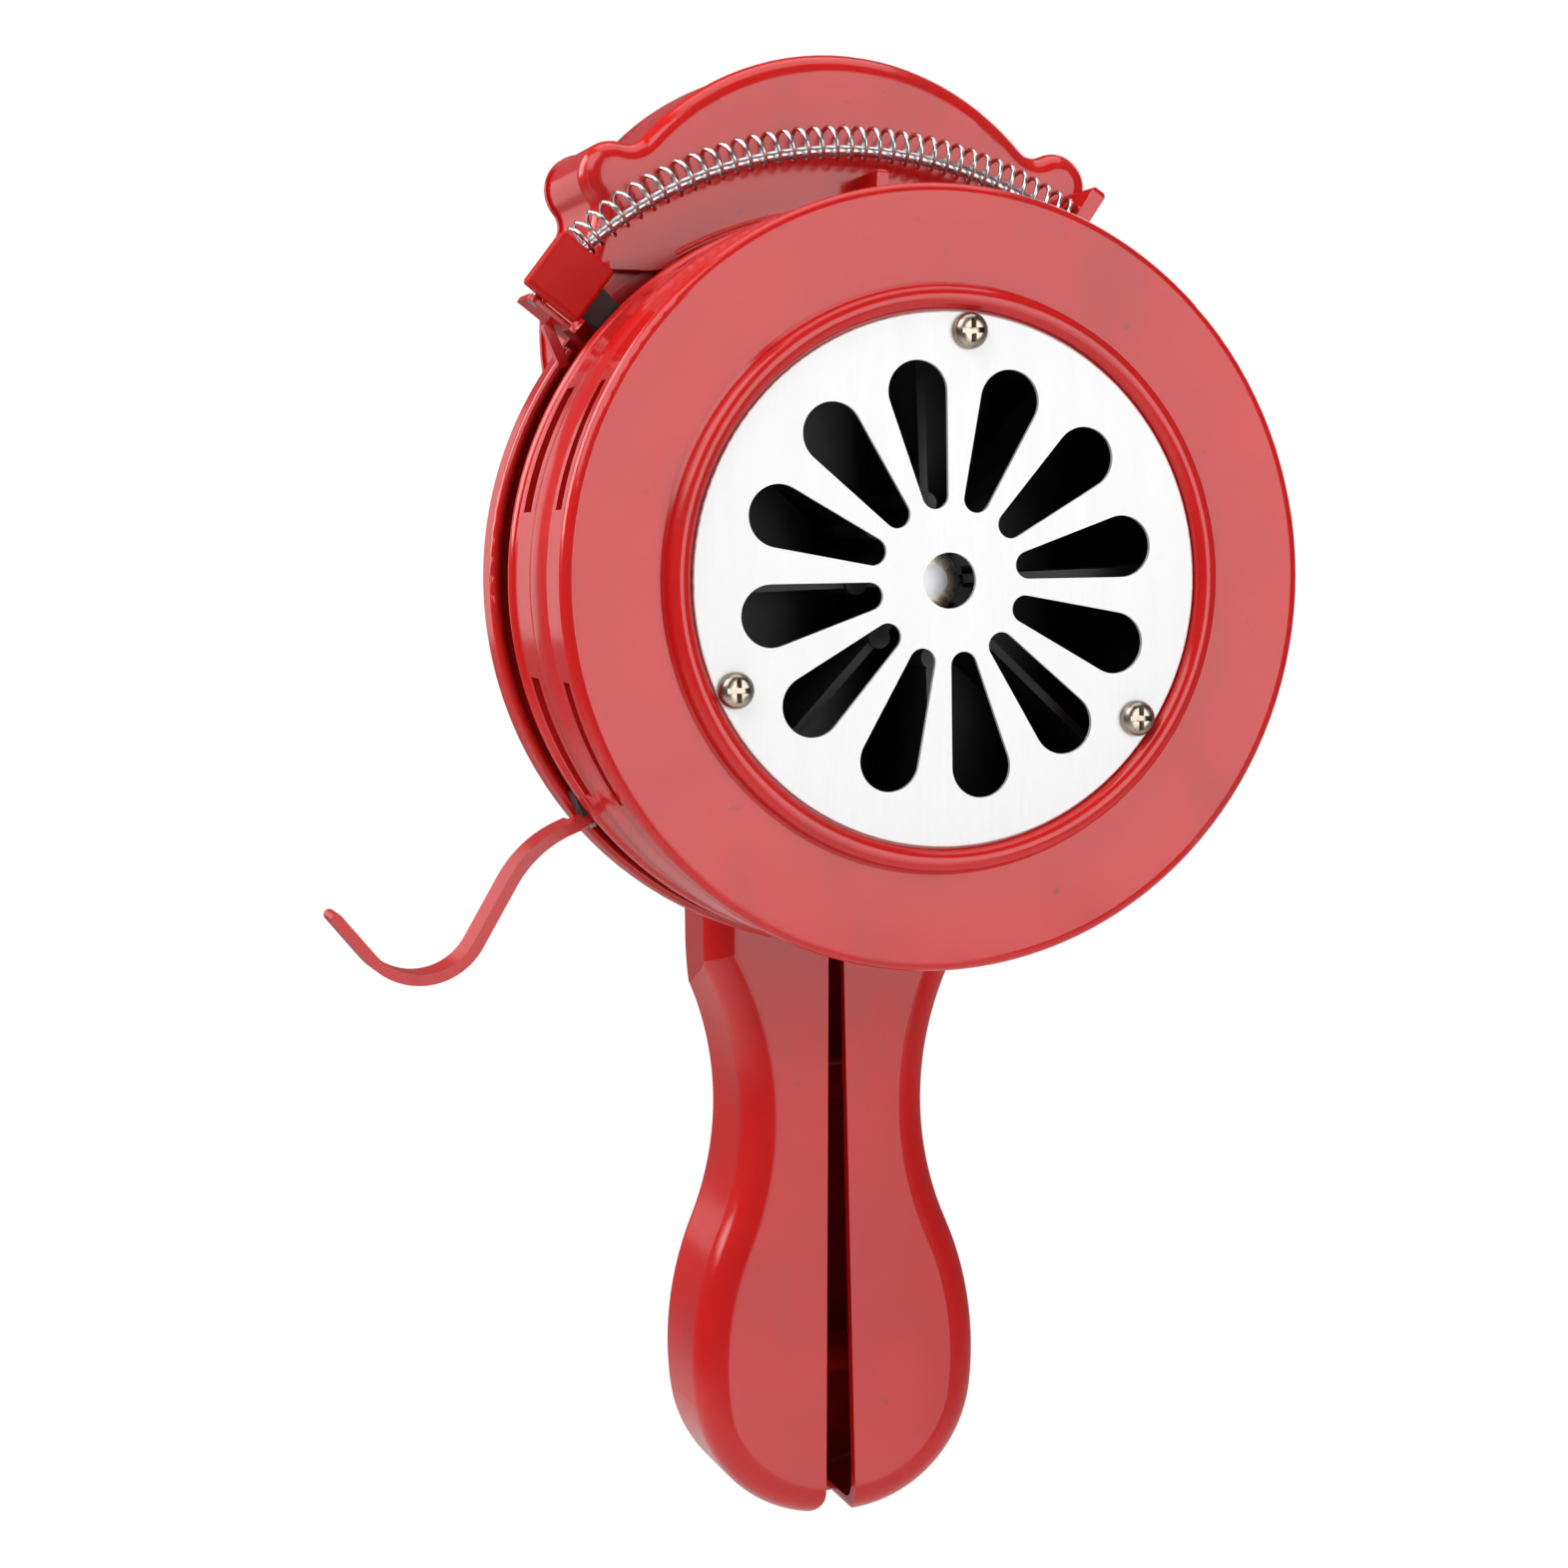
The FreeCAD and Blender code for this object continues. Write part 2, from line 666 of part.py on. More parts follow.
# Rotor: a cup with the same ports as the drum and eight vanes with rolled
# inner ends, turning inside the shutter ring.
def make_rotor():
    inside = ROTOR_R - ROTOR_WALL_T
    body = fuse_all(
        tube(ROTOR_R, inside, ROTOR_FRONT_Y, ROTOR_REAR_Y),
        post(inside + 0.2, ROTOR_REAR_Y - ROTOR_DISC_T, ROTOR_REAR_Y),
        post(ROTOR_HUB_R, ROTOR_HUB_Y, ROTOR_REAR_Y),
    )
    vanes = []
    for i in range(PORTS):
        deg = PORT_FIRST + (i + 0.5) * 360.0 / PORTS
        start = ROTOR_HUB_R - VANE_ROOT
        vane = Part.makeBox(inside + 0.2 - start, ROTOR_REAR_Y - VANE_FRONT_Y - 1, VANE_T,
                            V(start, VANE_FRONT_Y, -VANE_T / 2))
        vanes.append(turn(vane, deg))
        roll = polar(VANE_ROLL_AT, deg)
        vanes.append(post(VANE_ROLL_R, VANE_FRONT_Y - 1, ROTOR_REAR_Y - 1, roll.x, roll.z))
    body = fuse_all(body, *vanes)
    body = body.cut(post(SHAFT_R, 0, 60))
    return body.cut(ports(inside - 1, ROTOR_R + 1))


def make_rotor_shaft():
    shoulder = ROTOR_HUB_Y
    return fuse_all(
        post(SHAFT_TIP_R, SHAFT_TIP_Y, shoulder + 1),
        post(SHAFT_R, shoulder, SHAFT_END_Y),
    )


def make_rotor_washer():
    return tube(ROTOR_WASHER_R, SHAFT_TIP_R, ROTOR_HUB_Y - ROTOR_WASHER_T, ROTOR_HUB_Y)


def make_rotor_nut():
    start = ROTOR_HUB_Y - ROTOR_WASHER_T - ROTOR_NUT_T
    return hex_nut(ROTOR_NUT_AF, ROTOR_NUT_T, SHAFT_TIP_R, start)


def make_rotor_pinion():
    body = gear(PINION_TEETH, PINION_ADDENDUM, STAGE_TWO_Y, GEAR_W + PINION_EXTRA_W, rotor_mesh_angle())
    return body.cut(post(SHAFT_R, STAGE_TWO_Y - 1, STAGE_TWO_Y + GEAR_W + 2))


def idler_direction():
    """The angle from the drum axis to the idler axis."""
    return math.degrees(math.atan2(IDLER_Z, IDLER_X))


def rotor_mesh_angle():
    """Half a tooth off the line of centres, so that a gap faces the idler."""
    return idler_direction() + 180.0 / PINION_TEETH


def crank_line():
    """The angle from the crank axis to the idler axis."""
    return math.degrees(math.atan2(IDLER_Z - HUMP_Z, IDLER_X))


# Idler: a wheel driven by its own pinion, on a fixed pin.
def make_idler_gear():
    body = gear(IDLER_TEETH, WHEEL_ADDENDUM, STAGE_TWO_Y, GEAR_W, idler_direction() + 180,
                IDLER_X, IDLER_Z)
    hub = post(IDLER_HUB_R, STAGE_TWO_Y, STAGE_ONE_Y - 0.3, IDLER_X, IDLER_Z)
    return body.fuse(hub).cut(through(IDLER_PIN_R + RUNNING, IDLER_X, IDLER_Z))


def make_idler_pinion():
    start = STAGE_ONE_Y - 0.3
    body = gear(PINION_TEETH, PINION_ADDENDUM, start, GEAR_W + PINION_EXTRA_W, crank_line() + 180,
                IDLER_X, IDLER_Z)
    return body.cut(through(IDLER_PIN_R + RUNNING, IDLER_X, IDLER_Z))


def make_idler_pin():
    return post(IDLER_PIN_R, FLOOR_Y + 1, CASING_BACK_Y - 1, IDLER_X, IDLER_Z)


# Crank: the shaft carries the big wheel inside and the arm outside.
def make_crank_gear():
    body = gear(CRANK_TEETH, WHEEL_ADDENDUM, STAGE_ONE_Y, GEAR_W,
                crank_line() + 180.0 / CRANK_TEETH, 0, HUMP_Z)
    hub = post(CRANK_GEAR_HUB_R, STAGE_ONE_Y, STAGE_ONE_Y + GEAR_W + 2, 0, HUMP_Z)
    body = body.fuse(hub).cut(through(CRANK_SHAFT_R, 0, HUMP_Z))
    for i in range(6):
        at = polar(WHEEL_HOLES_AT, 30 + 60 * i) + V(0, 0, HUMP_Z)
        body = body.cut(through(WHEEL_HOLE_R, at.x, at.z))
    return body


def make_crank_shaft():
    arm_back = CRANK_ARM_Y + CRANK_ARM_T
    return fuse_all(
        post(CRANK_SHAFT_R, CRANK_SHAFT_FRONT_Y, arm_back, 0, HUMP_Z),
        post(CRANK_THREAD_R, arm_back - 1, arm_back + CRANK_NUT_T + 1.5, 0, HUMP_Z),
    )


def make_crank_arm():
    """A flat bar that tapers from the shaft to the knob pin."""
    top = CRANK_ARM_W / 2
    low = CRANK_ARM_TIP_W / 2
    lean = (top - low) / CRANK_ARM_LEN
    square = math.sqrt(1 - lean ** 2)
    far = V(0, CRANK_ARM_Y, KNOB_Z)
    near = V(0, CRANK_ARM_Y, HUMP_Z)
    right = V(square, 0, -lean)
    left = V(-square, 0, -lean)
    face = outline(
        near + right * top,
        (near + V(0, 0, top), near + left * top),
        far + left * low,
        (far + V(0, 0, -low), far + right * low),
        near + right * top,
    )
    arm = face.extrude(V(0, CRANK_ARM_T, 0))
    return arm.cut(through(CRANK_SHAFT_R, 0, HUMP_Z)).cut(through(KNOB_PIN_R, 0, KNOB_Z))


def make_crank_nut():
    return hex_nut(CRANK_NUT_AF, CRANK_NUT_T, CRANK_THREAD_R, CRANK_ARM_Y + CRANK_ARM_T, 0, HUMP_Z)


def make_knob_pin():
    end = KNOB_START_Y + KNOB_LEN - KNOB_RECESS_DEPTH
    return fuse_all(
        post(KNOB_PIN_R, CRANK_ARM_Y, end + 1, 0, KNOB_Z),
        post(KNOB_PIN_HEAD_R, end + 0.3, end + 0.3 + KNOB_PIN_HEAD_T, 0, KNOB_Z),
    )


# Crank knob: a turned grip, swelling in the middle, loose on its pin.
def make_crank_knob():
    y0 = KNOB_START_Y
    y1 = y0 + KNOB_LEN
    mid = (y0 + y1) / 2
    bore = KNOB_PIN_R + RUNNING
    floor = y1 - KNOB_RECESS_DEPTH
    edge = 1.5
    knob = turned(
        (bore, y0),
        (KNOB_END_R - edge, y0),
        (KNOB_END_R, y0 + edge),
        ((KNOB_MID_R, mid), (KNOB_END_R, y1 - edge)),
        (KNOB_END_R - edge, y1),
        (KNOB_RECESS_R, y1),
        (KNOB_RECESS_R, floor),
        (bore, floor),
        (bore, y0),
    )
    knob.translate(V(0, 0, KNOB_Z))
    return knob


# Shutter ring: a ported sleeve between the drum and the rotor, with a flange
# behind the drum that carries the slider tab and the lever boss.
def lever_frame():
    """The lever's direction at its root, and the way in towards the drum axis."""
    along = (LEVER_KNEE - LEVER_ROOT).normalize()
    return along, V(along.z, 0, -along.x)


def lever_boss():
    """A block behind the root of the lever, on the back of the flange."""
    along, inward = lever_frame()
    corner = LEVER_ROOT + inward * (LEVER_T / 2) + V(0, SHUTTER_FLANGE_Y + SHUTTER_FLANGE_T / 2, 0)
    points = [corner, corner + along * LEVER_BOSS_LEN]
    points.append(points[1] + inward * LEVER_BOSS_H)
    points.append(points[0] + inward * LEVER_BOSS_H)
    face = Part.Face(Part.makePolygon(points + points[:1]))
    return face.extrude(V(0, LEVER_NECK_BACK_Y - corner.y, 0))


def rivet_places():
    along, inward = lever_frame()
    depth = (LEVER_FRONT_Y + LEVER_NECK_BACK_Y) / 2
    return [LEVER_ROOT + along * step + V(0, depth, 0) for step in RIVET_STEPS]


def rivet_holes():
    along, inward = lever_frame()
    reach = LEVER_BOSS_H + LEVER_T
    return [Part.makeCylinder(RIVET_R, 2 * reach, p - inward * reach, inward) for p in rivet_places()]


def make_shutter_ring():
    flange_back = SHUTTER_FLANGE_Y + SHUTTER_FLANGE_T
    half = math.degrees(math.asin(TAB_W / 2 / TAB_REACH_R))
    body = fuse_all(
        tube(SHUTTER_R, SHUTTER_BORE_R, SHUTTER_FRONT_Y, flange_back),
        tube(SHUTTER_R, SHUTTER_FLANGE_BORE_R, SHUTTER_FLANGE_Y, flange_back),
        sector(SHUTTER_R - 4, TAB_REACH_R, SLIDER_ANGLE - half, SLIDER_ANGLE + half,
               SHUTTER_FLANGE_Y, SHUTTER_FLANGE_Y + TAB_T),
        lever_boss(),
    )
    body = body.cut(ports(SHUTTER_BORE_R - 1, SHUTTER_R + 1))
    holes = rivet_holes()
    screw = polar(SLIDER_SCREW_R, SLIDER_ANGLE)
    holes.append(post(M3_SHANK_R, 40, 60, screw.x, screw.z))
    return body.cut(Part.makeCompound(holes))


# Shutter lever: a flat strip on edge, bent to a cup for the finger. It is
# narrow where it leaves the groove behind the drum and wider outside it.
def make_shutter_lever():
    path = [LEVER_ROOT, LEVER_KNEE, LEVER_CUP, LEVER_TIP]
    face = bar_along(path, [LEVER_KNEE_R, LEVER_CUP_R], LEVER_T / 2)
    strip = face.extrude(V(0, LEVER_WIDE_BACK_Y, 0))
    narrow = tube(LEVER_WIDE_R, 20, LEVER_FRONT_Y, LEVER_NECK_BACK_Y)
    wide = tube(160, LEVER_WIDE_R, LEVER_WIDE_FRONT_Y, LEVER_WIDE_BACK_Y)
    strip = strip.common(narrow.fuse(wide)).removeSplitter()
    return strip.cut(Part.makeCompound(rivet_holes()))


def make_lever_rivets():
    along, inward = lever_frame()
    rivets = []
    for p in rivet_places():
        top = p - inward * (LEVER_T / 2)
        shank = Part.makeCylinder(RIVET_R, LEVER_T + LEVER_BOSS_H, top, inward)
        head = Part.makeCylinder(RIVET_HEAD_R, RIVET_HEAD_H, top - inward * RIVET_HEAD_H, inward)
        rivets.append(fuse_all(shank, head))
    return Part.makeCompound(rivets)


def leaning_box(r0, r1, side0, side1, y0, y1):
    """A box about the slider's radius: two radii, two places across, two depths.
    It leans about the slider's middle."""
    box = Part.makeBox(r1 - r0, y1 - y0, side1 - side0, V(r0, y0, side0))
    box.rotate(V(SLIDER_MID_R, 0, 0), FRONT, SLIDER_LEAN)
    return turn(box, SLIDER_ANGLE)


# Slider block: a moulded block on the ring's tab, sliding on the guide rod. Its
# cap is full size and its back, round the rod, is a little smaller.
def make_slider_block():
    half = SLIDER_W / 2
    out_r = SLIDER_IN_R + SLIDER_H
    cap = leaning_box(SLIDER_IN_R, out_r, -half, half, SLIDER_FRONT_Y, SLIDER_CAP_BACK_Y)
    cap = cap.makeFillet(SLIDER_ROUND, cap.Edges)
    back = leaning_box(SLIDER_IN_R + SLIDER_INSET, out_r - SLIDER_INSET, SLIDER_INSET - half,
                       half - SLIDER_INSET, SLIDER_CAP_BACK_Y - SLIDER_ROUND, SLIDER_BACK_Y)
    tab = sector(SHUTTER_R, TAB_REACH_R + SEAT_GAP, SLIDER_ANGLE - 2.6, SLIDER_ANGLE + 2.6,
                 SHUTTER_FLANGE_Y, SHUTTER_FLANGE_Y + TAB_T)
    channel = arc_bar(ROD_R + 0.3, ROD_ARC_R, ROD_Y, SLIDER_ANGLE - 8, SLIDER_ANGLE + 8)
    screw = polar(SLIDER_SCREW_R, SLIDER_ANGLE)
    hole = post(M3_SHANK_R, SHUTTER_FLANGE_Y, SLIDER_BACK_Y + 1, screw.x, screw.z)
    sunk = post(M3_HEAD_R + 0.15, slider_screw_seat(), SLIDER_BACK_Y + 1, screw.x, screw.z)
    return fuse_all(cap, back).cut(tab).cut(channel).cut(hole).cut(sunk)


def slider_screw_seat():
    """The depth at which the screw's head rests, sunk in the block's back."""
    return SLIDER_BACK_Y - M3_HEAD_H - 0.1


def make_slider_screw():
    at = polar(SLIDER_SCREW_R, SLIDER_ANGLE, slider_screw_seat())
    return pan_screw(M3_HEAD_R, M3_HEAD_H, M3_SHANK_R, at.y - SHUTTER_FLANGE_Y, at, BACK)


def arc_bar(r, arc_r, y, deg0, deg1):
    """A round bar bent about the drum axis."""
    centre = polar(arc_r, deg0, y)
    ring = Part.Face(Part.Wire(Part.makeCircle(r, centre, polar(1, deg0 + 90))))
    return ring.revolve(V(0, 0, 0), FRONT, deg1 - deg0)


def wide_angle(width, r):
    return math.degrees(width / r)


def right_lug_span():
    half = wide_angle(LUG_WIDE, ROD_ARC_R) / 2
    return RIGHT_LUG_ANGLE - half, RIGHT_LUG_ANGLE + half


def slider_side(across, r):
    """The angle of a line along the slider's side, so far from its middle, at radius r."""
    lean = math.tan(math.radians(SLIDER_LEAN))
    off = across / math.cos(math.radians(SLIDER_LEAN)) + (r - SLIDER_MID_R) * lean
    return SLIDER_ANGLE + wide_angle(off, r)


def rod_span():
    """The rod's ends: inside the right lug and through the left one."""
    start = RIGHT_LUG_ANGLE - wide_angle(ROD_OVERLAP, ROD_ARC_R)
    return start, slider_side(SLIDER_W / 2 + LEFT_LUG_GAP + LEFT_LUG_WIDE, ROD_ARC_R)


# Guide rod: a bent steel wire from lug to lug, inside the spring.
def make_guide_rod():
    return arc_bar(ROD_R, ROD_ARC_R, ROD_Y, rod_span()[0], rod_span()[1])


def biarc(p0, t0, p1, t1):
    """Two arcs from p0 to p1 that leave along t0 and arrive along t1."""
    v = p1 - p0
    t = t0 + t1
    k = 2 * (1 - t0.dot(t1))
    d = (-v.dot(t) + math.sqrt(v.dot(t) ** 2 + k * v.dot(v))) / k
    joint = (p0 + p1 + (t0 - t1) * d) * 0.5
    arcs = []
    for a, b, corner in ((p0, joint, p0 + t0 * d), (joint, p1, p1 - t1 * d)):
        chord = b - a
        middle = (a + b) * 0.5
        rise = corner - middle
        bend = math.acos(min(1.0, chord.Length / 2 / d))
        crown = middle + rise.normalize() * (chord.Length / 2 * math.tan(bend / 2))
        arcs.append(Part.Arc(a, crown, b).toShape())
    return arcs


def spring_span():
    """Start and end angles of the wire's centre line."""
    low = right_lug_span()[1] + wide_angle(SPRING_SEAT_GAP + WIRE_R, SPRING_ARC_R)
    high = slider_side(-SLIDER_W / 2 - SPRING_SEAT_GAP - WIRE_R, SPRING_ARC_R - COIL_R)
    return low, high


def spring_point(turns):
    """The wire's centre line after so many turns from the left end."""
    low, high = spring_span()
    length = math.radians(high - low) * SPRING_ARC_R
    ramp = RAMP_COILS
    flat = END_COILS
    pitch = (length - END_PITCH * (2 * flat + ramp)) / (COILS - 2 * flat - ramp)

    def travel(u):
        if u <= flat:
            return END_PITCH * u
        if u <= flat + ramp:
            w = u - flat
            return END_PITCH * u + (pitch - END_PITCH) * w * w / (2 * ramp)
        return END_PITCH * flat + (END_PITCH + pitch) / 2 * ramp + pitch * (u - flat - ramp)

    if turns <= COILS / 2:
        along = travel(turns)
    else:
        along = length - travel(COILS - turns)
    deg = high - math.degrees(along / SPRING_ARC_R)
    phase = 2 * math.pi * turns
    out = COIL_R * math.cos(phase)
    fore = COIL_R * math.sin(phase)
    return polar(SPRING_ARC_R + out, deg, ROD_Y - fore)


def spring_tangent(turns):
    step = 0.0005
    return (spring_point(turns + step) - spring_point(turns - step)).normalize()


# Return spring: one unbroken wire wound round the guide rod.
def make_return_spring():
    edges = []
    halves = 2 * COILS
    for i in range(halves):
        a = i / 2
        b = (i + 1) / 2
        edges += biarc(spring_point(a), spring_tangent(a), spring_point(b), spring_tangent(b))
    path = Part.Wire(edges)
    section = Part.Wire(Part.makeCircle(WIRE_R, spring_point(0), spring_tangent(0)))
    tube_shape = path.makePipeShell([section], True, False)
    return Part.Solid(tube_shape) if tube_shape.ShapeType == "Shell" else tube_shape


def spring_self_gap():
    """The least gap between turns of the wire, measured on points."""
    per_turn = 24
    points = [spring_point(i / per_turn) for i in range(COILS * per_turn + 1)]
    least = 1e9
    for i, p in enumerate(points):
        for j in range(i + per_turn // 2, min(len(points), i + 2 * per_turn)):
            least = min(least, (p - points[j]).Length)
    return least - 2 * WIRE_R


def touching(c1, r1, c2, r2, r, side):
    """The centre of a circle of radius r that touches two circles from outside."""
    between = c2 - c1
    gap = between.Length
    along = ((r1 + r) ** 2 - (r2 + r) ** 2 + gap ** 2) / (2 * gap)
    off = math.sqrt((r1 + r) ** 2 - along ** 2)
    u = between * (1 / gap)
    return c1 + u * along + V(-u.z, 0, u.x) * (off * side)


def rim(centre, r, towards):
    """The point of a circle nearest to another point."""
    return centre + (towards - centre).normalize() * r


def ear_place(side):
    return V(side * EAR_X + EAR_SHIFT, 0, EAR_Z)


def case_face(shrink, inner_fillet=EAR_INNER_FILLET):
    """The gear case seen from the front, drawn in by shrink: the hump, an ear
    on each side and the lower lobe, joined by hollow fillets."""
    hump = V(0, 0, HUMP_Z)
    lobe = V(0, 0, 0)
    edges = []
    for side in (-1, 1):
        ear = ear_place(side)
        above = touching(hump, HUMP_R, ear, EAR_R, inner_fillet, side)
        below = touching(hump, HUMP_R, ear, EAR_R, EAR_OUTER_FILLET, -side)
        valley = touching(hump, HUMP_R, lobe, LOBE_R, VALLEY_FILLET, side)
        arcs = [
            (hump, HUMP_R - shrink, V(0, 0, HUMP_Z + HUMP_R), above),
            (above, inner_fillet + shrink, hump, ear),
            (ear, EAR_R - shrink, above, below),
            (below, EAR_OUTER_FILLET + shrink, ear, hump),
            (hump, HUMP_R - shrink, below, valley),
            (valley, VALLEY_FILLET + shrink, hump, lobe),
            (lobe, LOBE_R - shrink, valley, V(0, 0, -LOBE_R)),
        ]
        for centre, r, start, end in arcs:
            a = rim(centre, r, start)
            b = rim(centre, r, end)
            if centre is ear:
                middle = rim(ear, r, ear * 2 - hump)
            else:
                middle = rim(centre, r, (a + b) * 0.5)
            edges.append(Part.Arc(a, middle, b).toShape())
    return Part.Face(Part.Wire(Part.__sortEdges__(edges)))


def prism(face, y0, y1):
    copy = face.copy()
    copy.translate(V(0, y0 - face.BoundBox.YMin, 0))
    return copy.extrude(V(0, y1 - y0, 0))


def front_edges(shape, y):
    return [e for e in shape.Edges if abs(e.BoundBox.YMin - y) < 0.001 and e.BoundBox.YLength < 0.001]


def lug(r_top, deg0, deg1, y0, y1, round_r):
    """A lug standing out of the casing with a rounded top."""
    body = sector(LIP_R - 1.4, r_top, deg0, deg1, y0, y1)
    top = [e for e in body.Edges if abs(math.hypot(e.CenterOfMass.x, e.CenterOfMass.z) - r_top) < 0.6]
    return body.makeFillet(round_r, top)


def left_lug():
    """The thin stop beside the slider that holds the rod's left end."""
    near = SLIDER_W / 2 + LEFT_LUG_GAP
    front = ROD_Y - ROD_R - LEFT_LUG_WALL
    tall = leaning_box(LIP_R + LEFT_LUG_SHELF, LEFT_LUG_TOP_R, near, near + LEFT_LUG_WIDE,
                       front, FLOOR_Y + 2)
    nose = max(front_edges(tall, front), key=lambda e: e.CenterOfMass.Length)
    tall = tall.makeFillet(LEFT_LUG_ROUND, [nose])
    low = leaning_box(LIP_R - 3, LIP_R + LEFT_LUG_SHELF + 1, near, near + LEFT_LUG_WIDE,
                      LIP_FRONT_Y, FLOOR_Y + 2)
    return tall.fuse(low)


def flare():
    """The end of the lip on the right of the slider's notch, curled outwards."""
    low = LIP_R - LIP_T
    along = radial(FLARE_ANGLE + 90)
    start = polar(LIP_R, FLARE_ANGLE)
    inner_start = polar(low, FLARE_ANGLE)
    tip = polar(LIP_R + FLARE_RISE, FLARE_TIP_ANGLE)
    inner_tip = tip - V(0, 0, FLARE_T)
    edges = biarc(start, along, tip, V(-1, 0, 0))
    edges.append(Part.LineSegment(tip, inner_tip).toShape())
    edges += biarc(inner_tip, V(1, 0, 0), inner_start, along * -1)
    edges.append(Part.LineSegment(inner_start, start).toShape())
    return prism(Part.Face(Part.Wire(edges)), LIP_FRONT_Y, HUMP_FRONT_Y + 1)


def finger():
    """The end of the lip on the left of the notch: a round finger."""
    base = polar(LIP_R, FINGER_ANGLE)
    tip = polar(LIP_R + FINGER_RISE, FINGER_TIP_ANGLE)
    along = (tip - base).normalize()
    across = V(-along.z, 0, along.x) * FINGER_HALF
    root = base - along * LIP_T
    face = outline(
        root + across,
        tip + across,
        (tip + along * FINGER_HALF, tip - across),
        root - across,
        root + across,
    )
    return prism(face, LIP_FRONT_Y, LIP_FRONT_Y + FINGER_T)


# Rear casing: a cast shell with the gear case behind, the lip round the
# shutter groove in front, the rod's lugs, and the tongue for the handle.
def make_rear_casing():
    case = prism(case_face(0.0), HUMP_FRONT_Y, CASING_BACK_Y)
    case = case.makeFillet(HUMP_ROUND, front_edges(case, HUMP_FRONT_Y))
    lip_in = LIP_R - LIP_T
    edge = LIP_T / 2
    round_mid = DISC_ROUND * (1 - math.sqrt(0.5))
    lip = turned(
        (lip_in, LIP_FRONT_Y + edge),
        ((lip_in + edge, LIP_FRONT_Y), (LIP_R, LIP_FRONT_Y + edge)),
        (LIP_R, DISC_BACK_Y - DISC_ROUND),
        ((LIP_R - round_mid, DISC_BACK_Y - round_mid), (LIP_R - DISC_ROUND, DISC_BACK_Y)),
        (LIP_R - DISC_ROUND - 0.5, DISC_BACK_Y),
        (LIP_R - DISC_ROUND - 0.5, FLOOR_Y),
        (lip_in, FLOOR_Y),
        (lip_in, LIP_FRONT_Y + edge),
    )
    floor = post(lip_in - 1, FLOOR_Y, FLOOR_Y + FLOOR_T)
    bearing_boss = post(BEARING_BOSS_R, FRONT_BEARING_Y - 0.8, FLOOR_Y + FLOOR_T)
    tongue_half = ROOT_HALF - HANDLE_WALL - SEAT_GAP
    tongue_front = HANDLE_FRONT_Y + HANDLE_WALL + SEAT_GAP
    tongue = Part.makeBox(2 * tongue_half, CASING_BACK_Y - tongue_front, TONGUE_TOP_Z - TONGUE_END_Z,
                          V(-tongue_half, tongue_front, TONGUE_END_Z))
    upright = [e for e in tongue.Edges if e.BoundBox.XLength + e.BoundBox.YLength < 0.01]
    tongue = tongue.makeFillet(HANDLE_ROUND - HANDLE_WALL, upright)
    for side in (-1, 1):
        tongue = tongue.cut(root_wedge(side, HANDLE_WALL + SEAT_GAP))
    bridge = Part.makeBox(2 * tongue_half, tongue_front - FLOOR_Y - 1, TONGUE_TOP_Z - HANDLE_TOP_Z,
                          V(-tongue_half, FLOOR_Y + 1, HANDLE_TOP_Z))
    notch = sector(lip_in - 0.5, LIP_R + 1, NOTCH_ANGLES[0], NOTCH_ANGLES[1], LIP_FRONT_Y - 1, FLOOR_Y)
    case = case.fuse(lip.cut(notch)).fuse(floor).fuse(tongue).fuse(bridge)
    case = case.cut(prism(case_face(CASING_WALL), HUMP_FRONT_Y + HUMP_PLATE_T, CASING_BACK_Y + 5))
    right = right_lug_span()
    nub_half = wide_angle(NUB_WIDE, NUB_TOP_R) / 2
    adds = [
        bearing_boss,
        post(BUSH_R + 2.5, HUMP_FRONT_Y + 1, CRANK_SHAFT_FRONT_Y + BUSH_LEN, 0, HUMP_Z),
        lug(RIGHT_LUG_TOP_R, right[0], right[1], LUG_FRONT_Y, HUMP_FRONT_Y + 1, LUG_ROUND),
        lug(NUB_TOP_R, NUB_ANGLE - nub_half, NUB_ANGLE + nub_half, LUG_FRONT_Y, HUMP_FRONT_Y + 1, NUB_WIDE / 3),
        left_lug(),
        flare(),
        finger(),
    ]
    for angle in POST_ANGLES:
        half = wide_angle(POST_WIDE, LIP_R) / 2
        adds.append(sector(DRUM_R + SEAT_GAP, POST_TOP_R, angle - half, angle + half,
                           POST_FRONT_Y, LIP_FRONT_Y + 4))
    for x, z in cover_screw_places():
        adds.append(post(LOW_BOSS_R, HUMP_FRONT_Y + 1, CASING_BACK_Y, x, z))
    case = case.multiFuse(adds)
    cuts = [
        post(BEARING_R, FRONT_BEARING_Y, FRONT_BEARING_Y + BEARING_W),
        through(SHAFT_R + 1),
        post(BUSH_R, CRANK_SHAFT_FRONT_Y - 0.1, CRANK_SHAFT_FRONT_Y + 20, 0, HUMP_Z),
        post(IDLER_PIN_R, FLOOR_Y + 1, CASING_BACK_Y, IDLER_X, IDLER_Z),
        arc_bar(ROD_R, ROD_ARC_R, ROD_Y, rod_span()[0], rod_span()[1]),
    ]
    for angle in POST_ANGLES:
        start = polar(POST_TOP_R + 1, angle, POST_SCREW_Y)
        cuts.append(Part.makeCylinder(M3_SHANK_R + SEAT_GAP, DRUM_HOLE_LEN, start, radial(angle) * -1))
    for x, z in cover_screw_places():
        cuts.append(post(M4_SHANK_R + SEAT_GAP, CASING_BACK_Y - COVER_SCREW_LEN, CASING_BACK_Y + 1, x, z))
    for z in ROOT_SCREW_ZS:
        cuts.append(Part.makeCylinder(M4_SHANK_R + SEAT_GAP, 2 * ROOT_HALF, V(-ROOT_HALF, ROOT_SCREW_Y, z),
                                      V(1, 0, 0)))
    case = case.cut(Part.makeCompound(cuts))
    return case.removeSplitter()


